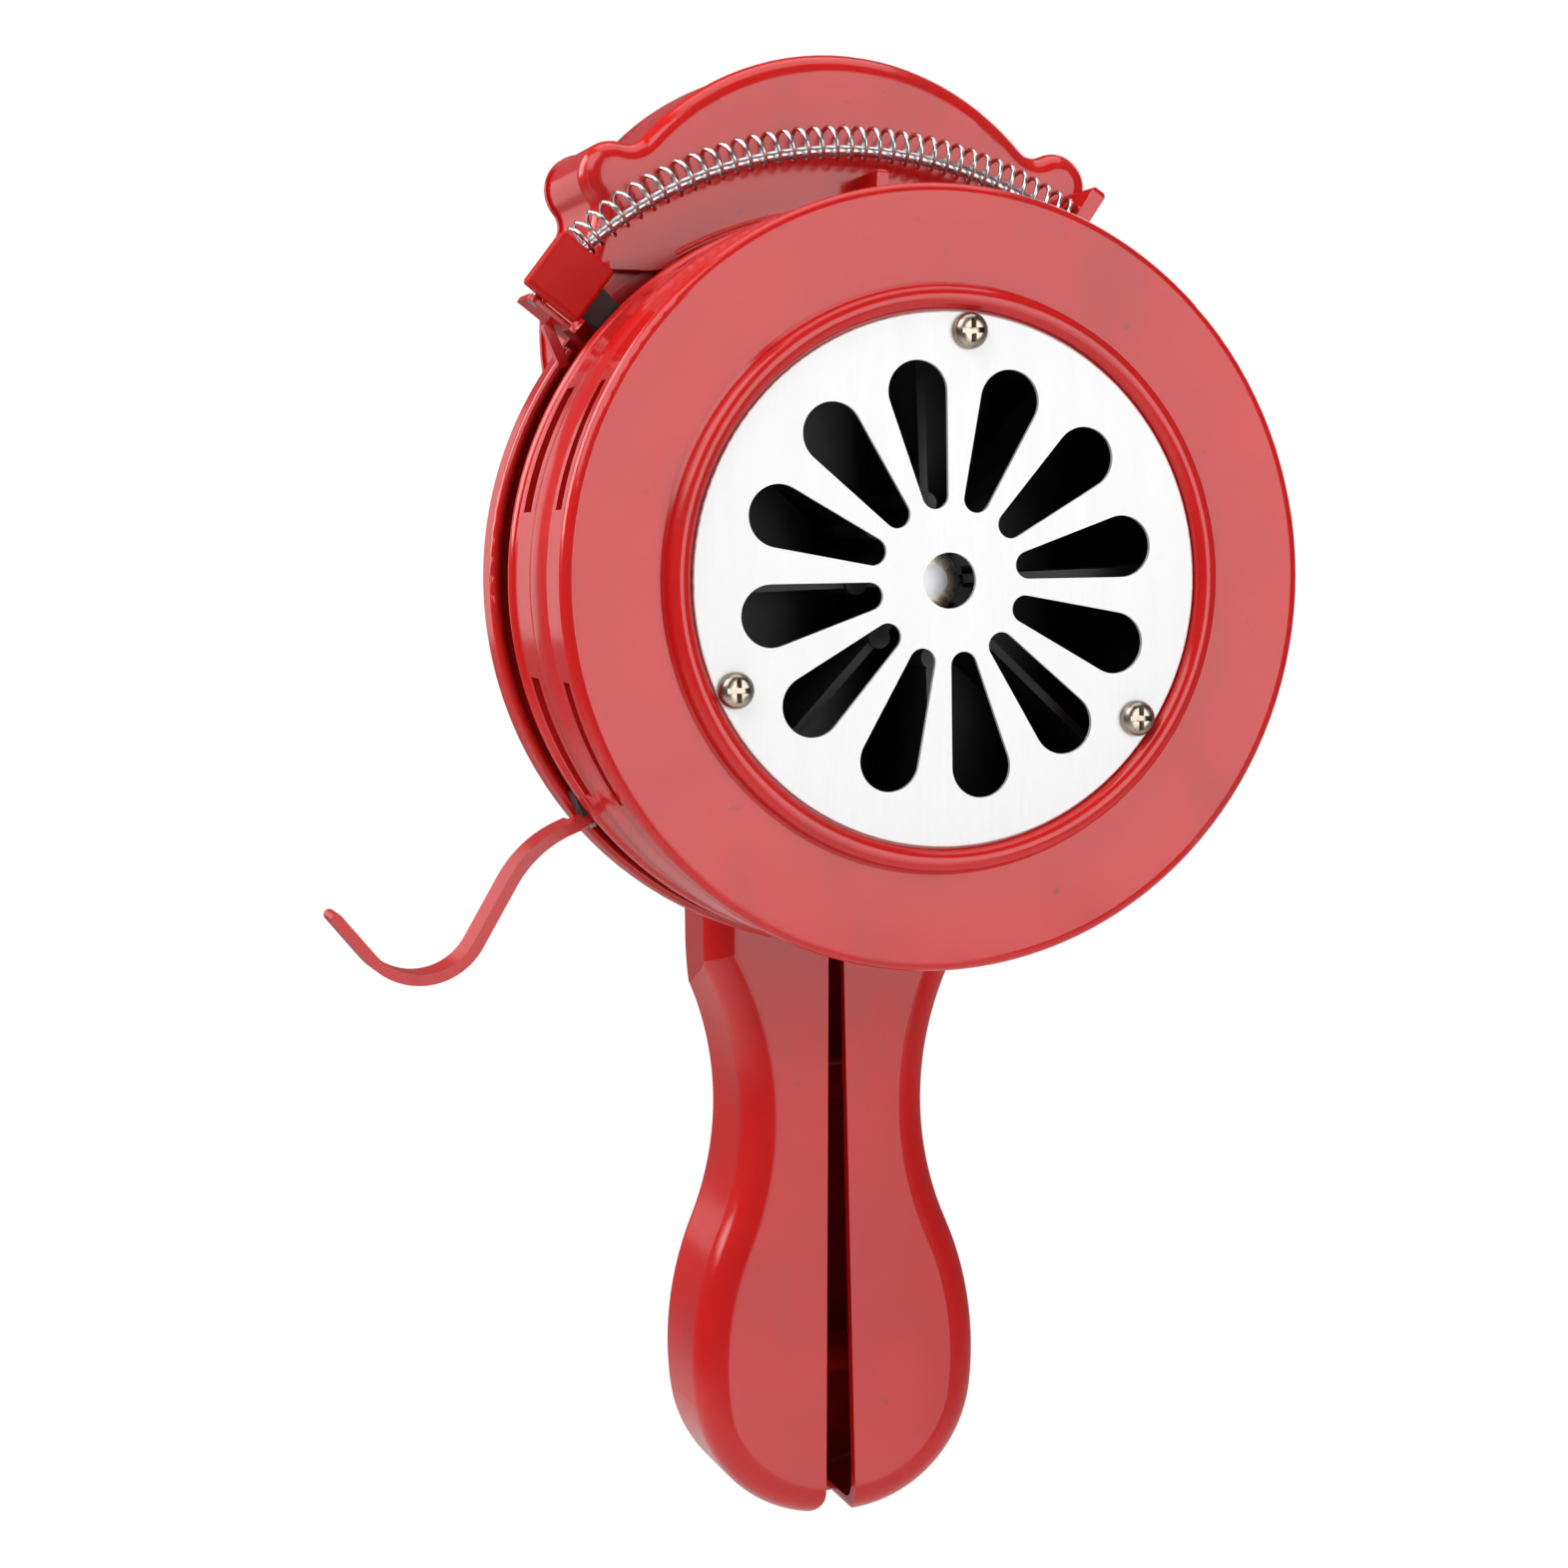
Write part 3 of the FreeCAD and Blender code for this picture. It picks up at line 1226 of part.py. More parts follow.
def cover_screw_places():
    places = []
    for side in (-1, 1):
        places.append((ear_place(side).x, EAR_Z))
        places.append((side * LOW_BOSS_X, LOW_BOSS_Z))
    return places


def make_drum_screws():
    screws = []
    for angle in POST_ANGLES:
        screws.append(pan_screw(M3_HEAD_R, M3_HEAD_H, M3_SHANK_R, DRUM_SCREW_LEN,
                                polar(POST_TOP_R, angle, POST_SCREW_Y), radial(angle)))
    return Part.makeCompound(screws)


# Rear cover: a flat lid with a spigot inside the case, the seat of the rotor's
# rear bearing and the boss of the crank.
def make_rear_cover():
    inner = case_face(CASING_WALL + COVER_SPIGOT_GAP)
    core = case_face(CASING_WALL + COVER_SPIGOT_GAP + COVER_SPIGOT_T)
    cover_back = CASING_BACK_Y + COVER_T
    lid = prism(case_face(-COVER_OVERHANG, COVER_INNER_FILLET), CASING_BACK_Y, cover_back)
    back = [e for e in lid.Edges if e.BoundBox.YMin > cover_back - 0.001]
    lid = lid.makeFillet(COVER_EDGE_ROUND, back)
    spigot = prism(inner, CASING_BACK_Y - COVER_SPIGOT_H, CASING_BACK_Y + 0.5)
    spigot = spigot.cut(prism(core, CASING_BACK_Y - 10, CASING_BACK_Y + 0.5))
    for x, z in cover_screw_places():
        spigot = spigot.cut(post(LOW_BOSS_R + 0.3, CASING_BACK_Y - 10, CASING_BACK_Y, x, z))
    lid = lid.multiFuse([
        spigot,
        post(BEARING_BOSS_R, REAR_BEARING_Y + 0.5, CASING_BACK_Y + 1),
        post(COVER_BOSS_R, REAR_BEARING_Y + 2, COVER_BOSS_Y, 0, HUMP_Z),
        post(IDLER_PIN_R + 3, STAGE_ONE_Y + GEAR_W + PINION_EXTRA_W + 0.6, CASING_BACK_Y + 1, IDLER_X, IDLER_Z),
    ])
    cuts = [
        post(BEARING_R, REAR_BEARING_Y, REAR_BEARING_Y + BEARING_W),
        post(BUSH_R, COVER_BOSS_Y - REAR_BUSH_LEN, COVER_BOSS_Y + 1, 0, HUMP_Z),
        through(CRANK_SHAFT_R + 0.5, 0, HUMP_Z),
        post(IDLER_PIN_R, STAGE_TWO_Y, CASING_BACK_Y - 1, IDLER_X, IDLER_Z),
    ]
    for x, z in cover_screw_places():
        cuts.append(through(M4_SHANK_R + 0.2, x, z))
    return lid.cut(Part.makeCompound(cuts)).removeSplitter()


def make_cover_screws():
    screws = []
    for x, z in cover_screw_places():
        at = V(x, CASING_BACK_Y + COVER_T, z)
        screws.append(pan_screw(M4_HEAD_R, M4_HEAD_H, M4_SHANK_R, COVER_SCREW_LEN, at, BACK))
    return Part.makeCompound(screws)


def make_bush(y0, length):
    return tube(BUSH_R, CRANK_SHAFT_R + RUNNING, y0, y0 + length, 0, HUMP_Z)


def grip_arcs():
    """Centre and radius of the neck, the swell and the foot of the right half."""
    drop = math.radians(GRIP_NECK_DROP)
    low = math.radians(GRIP_BULB_DROP)
    neck = V(GRIP_NECK_HALF + GRIP_NECK_R, 0, GRIP_NECK_Z)
    first = neck - V(math.cos(drop), 0, math.sin(drop)) * GRIP_NECK_R
    swell_r = (GRIP_BULB_HALF - first.x) / (1 - math.cos(drop))
    swell = first - V(math.cos(drop), 0, math.sin(drop)) * swell_r
    second = swell + V(math.cos(low), 0, -math.sin(low)) * swell_r
    foot_r = (second.z - GRIP_BOTTOM_Z) / (1 - math.sin(low))
    foot = second - V(math.cos(low), 0, -math.sin(low)) * foot_r
    return neck, swell, swell_r, foot, foot_r


def grip_face(side, shrink):
    """The outline of one handle half, drawn in by shrink."""
    neck, swell, swell_r, foot, foot_r = grip_arcs()
    half = ROOT_HALF - shrink
    neck_r = GRIP_NECK_R + shrink
    start = math.degrees(math.acos((half - neck.x) / neck_r))
    end = 180 + GRIP_NECK_DROP
    low = -GRIP_BULB_DROP

    def at(centre, r, deg):
        p = centre + radial(deg) * r
        return V(side * p.x, HANDLE_FRONT_Y, p.z)

    return outline(
        V(0, HANDLE_FRONT_Y, HANDLE_TOP_Z),
        V(side * half, HANDLE_FRONT_Y, HANDLE_TOP_Z),
        at(neck, neck_r, start),
        (at(neck, neck_r, (start + end) / 2), at(neck, neck_r, end)),
        (at(swell, swell_r - shrink, (GRIP_NECK_DROP + low) / 2), at(swell, swell_r - shrink, low)),
        (at(foot, foot_r - shrink, (low - 90) / 2), at(foot, foot_r - shrink, -90)),
        V(0, HANDLE_FRONT_Y, GRIP_BOTTOM_Z + shrink),
        V(0, HANDLE_FRONT_Y, HANDLE_TOP_Z),
    )


def slit_cutter(side):
    """The slot between the halves in front, flared round at the bottom."""
    top = SLIT_LEFT_TOP if side < 0 else SLIT_RIGHT_TOP
    low = SLIT_LEFT_LOW if side < 0 else SLIT_RIGHT_LOW
    slope = (low - top) / (SLIT_LOW_Z - SLIT_TOP_Z)
    front = HANDLE_FRONT_Y - 1
    r = SLIT_LEFT_CORNER_R if side < 0 else SLIT_RIGHT_CORNER_R
    corner_z = GRIP_BOTTOM_Z + r
    corner_x = top + slope * (corner_z - SLIT_TOP_Z)
    past = GRIP_BOTTOM_Z - 2
    face = outline(
        V(-side, front, 0),
        V(top - slope * SLIT_TOP_Z, front, 0),
        V(corner_x, front, corner_z),
        (V(corner_x + side * r * (1 - math.sqrt(0.5)), front, corner_z - r * math.sqrt(0.5)),
         V(corner_x + side * r, front, GRIP_BOTTOM_Z)),
        V(corner_x + side * r, front, past),
        V(-side, front, past),
        V(-side, front, 0),
    )
    return face.extrude(V(0, SLIT_DEPTH + 1, 0))


def root_wedge(side, inset):
    """What the root's draft takes off behind its front corner, drawn in by inset."""
    front = HANDLE_FRONT_Y
    back = HANDLE_FRONT_Y + HANDLE_DEPTH
    out = side * (ROOT_HALF - inset)
    far = side * 2 * ROOT_HALF
    top = HANDLE_TOP_Z + HANDLE_DEPTH
    slope = side * ROOT_DRAFT / HANDLE_DEPTH
    points = [V(out, front, top), V(out - slope * HANDLE_DEPTH * 2, back + HANDLE_DEPTH, top)]
    points += [V(far, back + HANDLE_DEPTH, top), V(far, front, top)]
    face = Part.Face(Part.makePolygon(points + points[:1]))
    return face.extrude(V(0, 0, GRIP_NECK_Z - top))


# Handle halves: two hollow shells that meet at the back and leave a slit in
# front, screwed to each other and to the casing's tongue.
def make_handle_half(side):

    def rounded(e):
        box = e.BoundBox
        seam = abs(box.XMin) < 0.01 and abs(box.XMax) < 0.01
        return box.YLength < 0.01 and box.ZMin < HANDLE_TOP_Z - 0.1 and not seam

    solid = grip_face(side, 0).extrude(V(0, HANDLE_DEPTH, 0))
    solid = solid.makeFillet(HANDLE_ROUND, [e for e in solid.Edges if rounded(e)])
    solid = solid.cut(root_wedge(side, 0))
    hollow = grip_face(side, HANDLE_WALL).extrude(V(0, HANDLE_DEPTH - 2 * HANDLE_WALL, 0))
    hollow.translate(V(0, HANDLE_WALL, 0))
    hollow = hollow.makeFillet(HANDLE_ROUND - HANDLE_WALL, [e for e in hollow.Edges if rounded(e)])
    hollow = hollow.cut(root_wedge(side, HANDLE_WALL))
    shell = solid.cut(hollow)
    holes = [slit_cutter(side)]
    for z in HANDLE_BOSS_ZS:
        boss = Part.makeCylinder(HANDLE_BOSS_R, 2 * ROOT_HALF, V(0, HANDLE_BOSS_Y, z), V(side, 0, 0))
        shell = shell.fuse(boss.common(solid))
        reach = HANDLE_SCREW_LEN - HANDLE_SEAT_X + 0.5
        holes.append(Part.makeCylinder(M4_SHANK_R + SEAT_GAP, 2 * ROOT_HALF, V(-reach, HANDLE_BOSS_Y, z),
                                       V(1, 0, 0)))
        if side > 0:
            seat = V(HANDLE_SEAT_X, HANDLE_BOSS_Y, z)
            holes.append(Part.makeCylinder(M4_HEAD_R + 0.3, 2 * ROOT_HALF, seat, V(1, 0, 0)))
    for z in ROOT_SCREW_ZS:
        holes.append(Part.makeCylinder(M4_SHANK_R, ROOT_SEAT_X - ROOT_SCREW_END_X,
                                       V(ROOT_SCREW_END_X, ROOT_SCREW_Y, z), V(1, 0, 0)))
        if side > 0:
            seat = V(ROOT_SEAT_X, ROOT_SCREW_Y, z)
            holes.append(Part.makeCylinder(M4_HEAD_R + 0.3, ROOT_HALF, seat, V(1, 0, 0)))
    return shell.cut(Part.makeCompound(holes)).removeSplitter()


def make_handle_screws():
    screws = []
    for z in HANDLE_BOSS_ZS:
        screws.append(pan_screw(M4_HEAD_R, M4_HEAD_H, M4_SHANK_R, HANDLE_SCREW_LEN,
                                V(HANDLE_SEAT_X, HANDLE_BOSS_Y, z), V(1, 0, 0)))
    for z in ROOT_SCREW_ZS:
        screws.append(pan_screw(M4_HEAD_R, M4_HEAD_H, M4_SHANK_R, ROOT_SEAT_X - ROOT_SCREW_END_X,
                                V(ROOT_SEAT_X, ROOT_SCREW_Y, z), V(1, 0, 0)))
    return Part.makeCompound(screws)


def save(name, shape):
    shape.translate(GRIP_CENTRE * -1)
    for solid in shape.Solids:
        if not solid.isValid() or solid.Volume <= 0:
            print("BAD", name)
    print("%-22s solids %2d  volume %10.1f" % (name, len(shape.Solids), shape.Volume))
    shape.exportStep("parts/" + name + ".step")


def main():
    os.makedirs("parts", exist_ok=True)
    save("drum", make_drum())
    save("grille_plate", make_grille_plate())
    save("grille_screws", make_grille_screws())
    save("rear_casing", make_rear_casing())
    save("rear_cover", make_rear_cover())
    save("cover_screws", make_cover_screws())
    save("drum_screws", make_drum_screws())
    save("handle_left", make_handle_half(-1))
    save("handle_right", make_handle_half(1))
    save("handle_screws", make_handle_screws())
    save("guide_rod", make_guide_rod())
    save("return_spring", make_return_spring())
    save("rotor_front_bearing", bearing(FRONT_BEARING_Y))
    save("rotor_rear_bearing", bearing(REAR_BEARING_Y))
    save("crank_front_bush", make_bush(CRANK_SHAFT_FRONT_Y, BUSH_LEN - 0.1))
    save("crank_rear_bush", make_bush(COVER_BOSS_Y - REAR_BUSH_LEN, REAR_BUSH_LEN))
    save("idler_pin", make_idler_pin())
    save("shutter_ring", make_shutter_ring())
    save("shutter_lever", make_shutter_lever())
    save("lever_rivets", make_lever_rivets())
    save("slider_block", make_slider_block())
    save("slider_screw", make_slider_screw())
    save("rotor", make_rotor())
    save("rotor_shaft", make_rotor_shaft())
    save("rotor_pinion", make_rotor_pinion())
    save("rotor_washer", make_rotor_washer())
    save("rotor_nut", make_rotor_nut())
    save("idler_gear", make_idler_gear())
    save("idler_pinion", make_idler_pinion())
    save("crank_shaft", make_crank_shaft())
    save("crank_gear", make_crank_gear())
    save("crank_arm", make_crank_arm())
    save("crank_nut", make_crank_nut())
    save("knob_pin", make_knob_pin())
    save("crank_knob", make_crank_knob())
    print("least gap between the spring's turns %.2f" % spring_self_gap())


main()
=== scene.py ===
import bpy
import math
from mathutils import Matrix, Vector


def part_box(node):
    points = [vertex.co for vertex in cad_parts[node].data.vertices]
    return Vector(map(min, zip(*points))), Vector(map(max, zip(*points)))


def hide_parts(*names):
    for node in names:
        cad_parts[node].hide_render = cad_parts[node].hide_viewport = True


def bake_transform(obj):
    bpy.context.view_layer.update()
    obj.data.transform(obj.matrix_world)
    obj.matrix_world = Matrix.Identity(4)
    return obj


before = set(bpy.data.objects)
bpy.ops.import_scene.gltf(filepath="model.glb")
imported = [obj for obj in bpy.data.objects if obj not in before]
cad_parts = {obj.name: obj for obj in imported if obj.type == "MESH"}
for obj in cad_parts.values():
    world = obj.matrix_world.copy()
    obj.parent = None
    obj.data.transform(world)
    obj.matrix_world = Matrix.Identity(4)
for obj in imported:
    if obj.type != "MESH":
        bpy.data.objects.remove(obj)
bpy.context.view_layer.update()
bpy.ops.object.select_all(action="DESELECT")


# Castings: the rear casing, its cover and the drum
# Die-cast alloy under one coat of thick glossy red enamel. The coat lies a little
# uneven, pools darker in places and holds a few grains of dust.
def new_material(name):
    """A node material with its Principled shader, its nodes and its links."""
    material = bpy.data.materials.new(name)
    material.use_nodes = True
    nodes = material.node_tree.nodes
    return material, nodes["Principled BSDF"], nodes, material.node_tree.links


def noise(nodes, links, scale, detail=3.0, stretch=(1.0, 1.0, 1.0)):
    """A noise texture on Object coordinates, stretched along the axes."""
    place = nodes.new("ShaderNodeTexCoord")
    mapping = nodes.new("ShaderNodeMapping")
    mapping.inputs["Scale"].default_value = stretch
    texture = nodes.new("ShaderNodeTexNoise")
    texture.inputs["Scale"].default_value = scale
    texture.inputs["Detail"].default_value = detail
    links.new(place.outputs["Object"], mapping.inputs["Vector"])
    links.new(mapping.outputs["Vector"], texture.inputs["Vector"])
    return texture


def ramp(nodes, links, source, stops):
    """A colour ramp: stops are (position, colour)."""
    node = nodes.new("ShaderNodeValToRGB")
    while len(node.color_ramp.elements) < len(stops):
        node.color_ramp.elements.new(0.5)
    for element, (position, colour) in zip(node.color_ramp.elements, stops):
        element.position = position
        element.color = (*colour, 1.0)
    links.new(source, node.inputs["Fac"])
    return node


def grey(value):
    return (value, value, value)


def add(nodes, links, first, second, share):
    """First plus second times share."""
    node = nodes.new("ShaderNodeMath")
    node.operation = "MULTIPLY_ADD"
    node.inputs[1].default_value = share
    links.new(second, node.inputs[0])
    links.new(first, node.inputs[2])
    return node


def bump(nodes, links, shader, height, strength, distance):
    """A bump of real height, in metres."""
    node = nodes.new("ShaderNodeBump")
    node.inputs["Strength"].default_value = strength
    node.inputs["Distance"].default_value = distance
    links.new(height, node.inputs["Height"])
    links.new(node.outputs["Normal"], shader.inputs["Normal"])
    return node


DIRT_RED = (0.30, 0.03, 0.03)
ENAMEL_WAVE = 0.00035


def enamel(name, light, dark, gloss):
    """Red enamel: two close reds in soft clouds, faint smears, a few dust grains
    under the paint and a slow wave in its surface."""
    material, shader, nodes, links = new_material(name)
    clouds = noise(nodes, links, 30.0, 2.0)
    colour = ramp(nodes, links, clouds.outputs["Fac"], [(0.3, dark), (0.7, light)])
    smears = noise(nodes, links, 55.0, 5.0, (1.0, 1.0, 0.6))
    worn = ramp(nodes, links, smears.outputs["Fac"], [(0.54, grey(0.0)), (0.70, grey(0.30))])
    dust = noise(nodes, links, 330.0, 1.0)
    specks = ramp(nodes, links, dust.outputs["Fac"], [(0.77, grey(0.0)), (0.80, grey(0.7))])
    dirt = add(nodes, links, worn.outputs["Color"], specks.outputs["Color"], 1.0)
    mix = nodes.new("ShaderNodeMix")
    mix.data_type = "RGBA"
    mix.inputs[7].default_value = (*DIRT_RED, 1.0)
    links.new(dirt.outputs["Value"], mix.inputs[0])
    links.new(colour.outputs["Color"], mix.inputs[6])
    links.new(mix.outputs[2], shader.inputs["Base Color"])
    rough = ramp(nodes, links, smears.outputs["Fac"], [(0.4, grey(gloss)), (0.75, grey(gloss + 0.08))])
    links.new(rough.outputs["Color"], shader.inputs["Roughness"])
    wave = noise(nodes, links, 48.0, 1.0)
    height = add(nodes, links, wave.outputs["Fac"], specks.outputs["Color"], 0.15)
    bump(nodes, links, shader, height.outputs["Value"], 0.10, ENAMEL_WAVE)
    return material


def dress(material, *names):
    """Give CAD nodes a material."""
    for name in names:
        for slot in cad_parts[name].material_slots:
            slot.material = material


red_enamel = enamel("red_enamel", (0.64, 0.013, 0.011), (0.57, 0.009, 0.009), 0.13)
dress(red_enamel, "rear_casing", "rear_cover", "drum")

# Finger lever of the shutter
# A bent steel strip, riveted to the shutter ring, under a thinner and duller coat of
# the same enamel.
lever_enamel = enamel("lever_enamel", (0.60, 0.014, 0.012), (0.52, 0.010, 0.010), 0.20)
dress(lever_enamel, "shutter_lever")

# Handle halves
# Two castings screwed to each other and to the casing, with the enamel of the body in
# a shade darker.
grip_enamel = enamel("grip_enamel", (0.60, 0.012, 0.010), (0.52, 0.008, 0.008), 0.14)
dress(grip_enamel, "handle_left", "handle_right")

# Slider block
# A moulded plastic block on the ring's tab, even and softer in its shine than the
# enamel.
block_plastic, shader, nodes, links = new_material("block_plastic")
pores = noise(nodes, links, 60.0, 2.0)
tint = ramp(nodes, links, pores.outputs["Fac"], [(0.3, (0.47, 0.006, 0.004)), (0.7, (0.55, 0.009, 0.005))])
links.new(tint.outputs["Color"], shader.inputs["Base Color"])
shader.inputs["Roughness"].default_value = 0.45
shader.inputs["Specular IOR Level"].default_value = 0.18
grain = noise(nodes, links, 900.0, 2.0)
bump(nodes, links, shader, grain.outputs["Fac"], 0.08, 0.0001)
dress(block_plastic, "slider_block")

# Grille plate
# A stamped steel plate with a silver-white coat, faintly streaked along the way
# it was rolled, held by three screws.
plate_coat, shader, nodes, links = new_material("plate_coat")
streaks = noise(nodes, links, 70.0, 4.0, (6.0, 1.0, 0.6))
shade = ramp(nodes, links, streaks.outputs["Fac"], [(0.32, grey(0.73)), (0.68, grey(0.82))])
links.new(shade.outputs["Color"], shader.inputs["Base Color"])
shader.inputs["Metallic"].default_value = 0.25
rough = ramp(nodes, links, streaks.outputs["Fac"], [(0.3, grey(0.34)), (0.7, grey(0.46))])
links.new(rough.outputs["Color"], shader.inputs["Roughness"])
grain = noise(nodes, links, 800.0, 3.0)
bump(nodes, links, shader, grain.outputs["Fac"], 0.08, 0.0001)
dress(plate_coat, "grille_plate")


# Plated screws, rivets and nuts
# Nickel-plated pan heads with a cross recess, warm and a little tarnished.
def metal(name, light, dark, rough, scale):
    """Bare or plated metal with soft changes of tone."""
    material, shader, nodes, links = new_material(name)
    stains = noise(nodes, links, scale, 3.0)
    tone = ramp(nodes, links, stains.outputs["Fac"], [(0.3, dark), (0.7, light)])
    links.new(tone.outputs["Color"], shader.inputs["Base Color"])
    shader.inputs["Metallic"].default_value = 1.0
    level = ramp(nodes, links, stains.outputs["Fac"], [(0.3, grey(rough)), (0.7, grey(rough + 0.12))])
    links.new(level.outputs["Color"], shader.inputs["Roughness"])
    return material


nickel = metal("nickel_plate", (0.50, 0.44, 0.36), (0.30, 0.25, 0.20), 0.20, 500.0)
dress(nickel, "grille_screws", "cover_screws", "drum_screws", "handle_screws", "slider_screw")
dress(nickel, "lever_rivets", "rotor_nut", "rotor_washer", "crank_nut", "knob_pin")

# Rotor
# A black coated casting with vanes, seen through the grille.
rotor_black, shader, nodes, links = new_material("rotor_black")
soot = noise(nodes, links, 120.0, 4.0)
shade = ramp(nodes, links, soot.outputs["Fac"], [(0.3, grey(0.010)), (0.7, grey(0.024))])
links.new(shade.outputs["Color"], shader.inputs["Base Color"])
shader.inputs["Roughness"].default_value = 0.45
bump(nodes, links, shader, soot.outputs["Fac"], 0.2, 0.0003)
dress(rotor_black, "rotor")

# Shafts, gears, bearings and crank arm
# Turned, hobbed and ground steel, oiled, and the two sintered bronze bushes.
machined_steel = metal("machined_steel", (0.50, 0.50, 0.51), (0.36, 0.36, 0.37), 0.32, 300.0)
dress(machined_steel, "rotor_front_bearing", "rotor_rear_bearing", "idler_pin", "rotor_shaft")
dress(machined_steel, "rotor_pinion", "idler_pinion", "idler_gear", "crank_shaft", "crank_gear", "crank_arm")
bronze = metal("bush_bronze", (0.60, 0.40, 0.20), (0.46, 0.30, 0.15), 0.35, 400.0)
dress(bronze, "crank_front_bush", "crank_rear_bush")

# Crank knob
# Turned black plastic, loose on its pin.
knob_plastic, shader, nodes, links = new_material("knob_plastic")
grain = noise(nodes, links, 600.0, 3.0)
shade = ramp(nodes, links, grain.outputs["Fac"], [(0.3, grey(0.018)), (0.7, grey(0.03))])
links.new(shade.outputs["Color"], shader.inputs["Base Color"])
shader.inputs["Roughness"].default_value = 0.35
bump(nodes, links, shader, grain.outputs["Fac"], 0.12, 0.0001)
dress(knob_plastic, "crank_knob")

# Shutter ring
# A sleeve of sheet steel between the drum and the rotor, oiled because it
# slides, with its tab and its flange showing in the groove behind the drum. It is
# coloured near-black as painted shade, standing in for the deep shadow in that
# groove and behind the drum's slots.
ring_shade_black, shader, nodes, links = new_material("ring_shade_black")
oil = noise(nodes, links, 90.0, 3.0)
# Near-black tones with an oily mottle: painted shade for the groove and the slots.
shade = ramp(nodes, links, oil.outputs["Fac"], [(0.3, (0.020, 0.013, 0.012)), (0.7, (0.040, 0.026, 0.023))])
links.new(shade.outputs["Color"], shader.inputs["Base Color"])
shader.inputs["Metallic"].default_value = 0.2
rough = ramp(nodes, links, oil.outputs["Fac"], [(0.3, grey(0.42)), (0.7, grey(0.55))])
links.new(rough.outputs["Color"], shader.inputs["Roughness"])
dress(ring_shade_black, "shutter_ring")

# Guide rod
# A bent steel wire, zinc plated, from the right lug to the left one.
rod_steel = metal("rod_steel", (0.66, 0.67, 0.68), (0.46, 0.47, 0.48), 0.20, 350.0)
dress(rod_steel, "guide_rod")

# Return spring
# Bright hard-drawn wire wound round the rod, with its turns closer at both ends and
# towards the right. The right end rests on the lug and the left end moves with the
# slider block.
WIRE_R = 0.00042
COIL_R = 0.00325
COILS = 37
END_PITCH = 0.00135
END_COILS = 0.6
RAMP_COILS = 0.6
RIGHT_CROWDING = 0.10
SPRING_ARC_R = 0.0867
SPRING_LEFT_ANGLE = 130.22
SPRING_RIGHT_ANGLE = 57.68
WIRE_SIDES = 10
STEPS_PER_TURN = 24

drum_low, drum_high = (Vector(v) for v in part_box("drum"))
rod_low, rod_high = (Vector(v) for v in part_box("guide_rod"))
axis_x = (drum_low.x + drum_high.x) / 2
axis_z = (drum_low.z + drum_high.z) / 2
rod_y = (rod_low.y + rod_high.y) / 2
spring_length = math.radians(SPRING_LEFT_ANGLE - SPRING_RIGHT_ANGLE) * SPRING_ARC_R
middle_coils = COILS - 2 * END_COILS - RAMP_COILS
pitch = (spring_length - END_PITCH * (2 * END_COILS + RAMP_COILS)) / middle_coils


def travel(turns):
    """How far along the rod the wire is after so many turns from an end."""
    if turns <= END_COILS:
        return END_PITCH * turns
    if turns <= END_COILS + RAMP_COILS:
        past = turns - END_COILS
        return END_PITCH * turns + (pitch - END_PITCH) * past ** 2 / (2 * RAMP_COILS)
    ramped = END_PITCH * END_COILS + (END_PITCH + pitch) / 2 * RAMP_COILS
    return ramped + pitch * (turns - END_COILS - RAMP_COILS)


bpy.ops.mesh.primitive_circle_add(vertices=WIRE_SIDES, radius=WIRE_R, fill_type="NOTHING",
                                  location=(0, 0, COIL_R), rotation=(math.pi / 2, 0, 0))
spring = bpy.context.active_object
spring.name = "spring_wire"
bpy.ops.object.transform_apply(location=True, rotation=True, scale=True)
wind = spring.modifiers.new("wind", "SCREW")
wind.axis = "X"
wind.angle = 2 * math.pi
wind.iterations = COILS
wind.screw_offset = pitch
wind.steps = STEPS_PER_TURN
wind.render_steps = STEPS_PER_TURN
wind.use_smooth_shade = True
bpy.ops.object.modifier_apply(modifier="wind")
for number, vertex in enumerate(spring.data.vertices):
    turns = (number // WIRE_SIDES) / STEPS_PER_TURN
    if turns <= COILS / 2:
        middle = travel(turns)
    else:
        middle = spring_length - travel(COILS - turns)
    share = middle / spring_length
    middle += RIGHT_CROWDING * spring_length * share * (1 - share)
    along = vertex.co.x - pitch * turns + middle
    bend = math.radians(SPRING_LEFT_ANGLE) - along / SPRING_ARC_R
    reach = SPRING_ARC_R + vertex.co.z
    vertex.co = (axis_x + reach * math.cos(bend), rod_y + vertex.co.y, axis_z + reach * math.sin(bend))
bpy.ops.object.mode_set(mode="EDIT")
bpy.ops.mesh.select_mode(type="EDGE")
bpy.ops.mesh.select_all(action="DESELECT")
bpy.ops.mesh.select_non_manifold(extend=False)
bpy.ops.mesh.edge_face_add()
bpy.ops.mesh.select_all(action="SELECT")
bpy.ops.mesh.normals_make_consistent(inside=False)
bpy.ops.object.mode_set(mode="OBJECT")
spring_steel = metal("spring_steel", (0.80, 0.80, 0.80), (0.58, 0.58, 0.58), 0.14, 600.0)
spring.data.materials.append(spring_steel)


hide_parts("return_spring")
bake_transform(spring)
bpy.ops.object.select_all(action="DESELECT")

# Floor, light and camera
# A white floor and surround, soft boxes around the object, and the camera of the
# photograph.
FLOOR_Z = -0.6
FLOOR_SIZE = 8.0
ROOM_LIGHT = 0.14


def white_to_camera(nodes, links, shaded, bright, output):
    """Show the bright shader to the camera and the shaded one to all else."""
    path = nodes.new("ShaderNodeLightPath")
    choice = nodes.new("ShaderNodeMixShader")
    links.new(path.outputs["Is Camera Ray"], choice.inputs["Fac"])
    links.new(shaded, choice.inputs[1])
    links.new(bright, choice.inputs[2])
    links.new(choice.outputs["Shader"], output.inputs["Surface"])


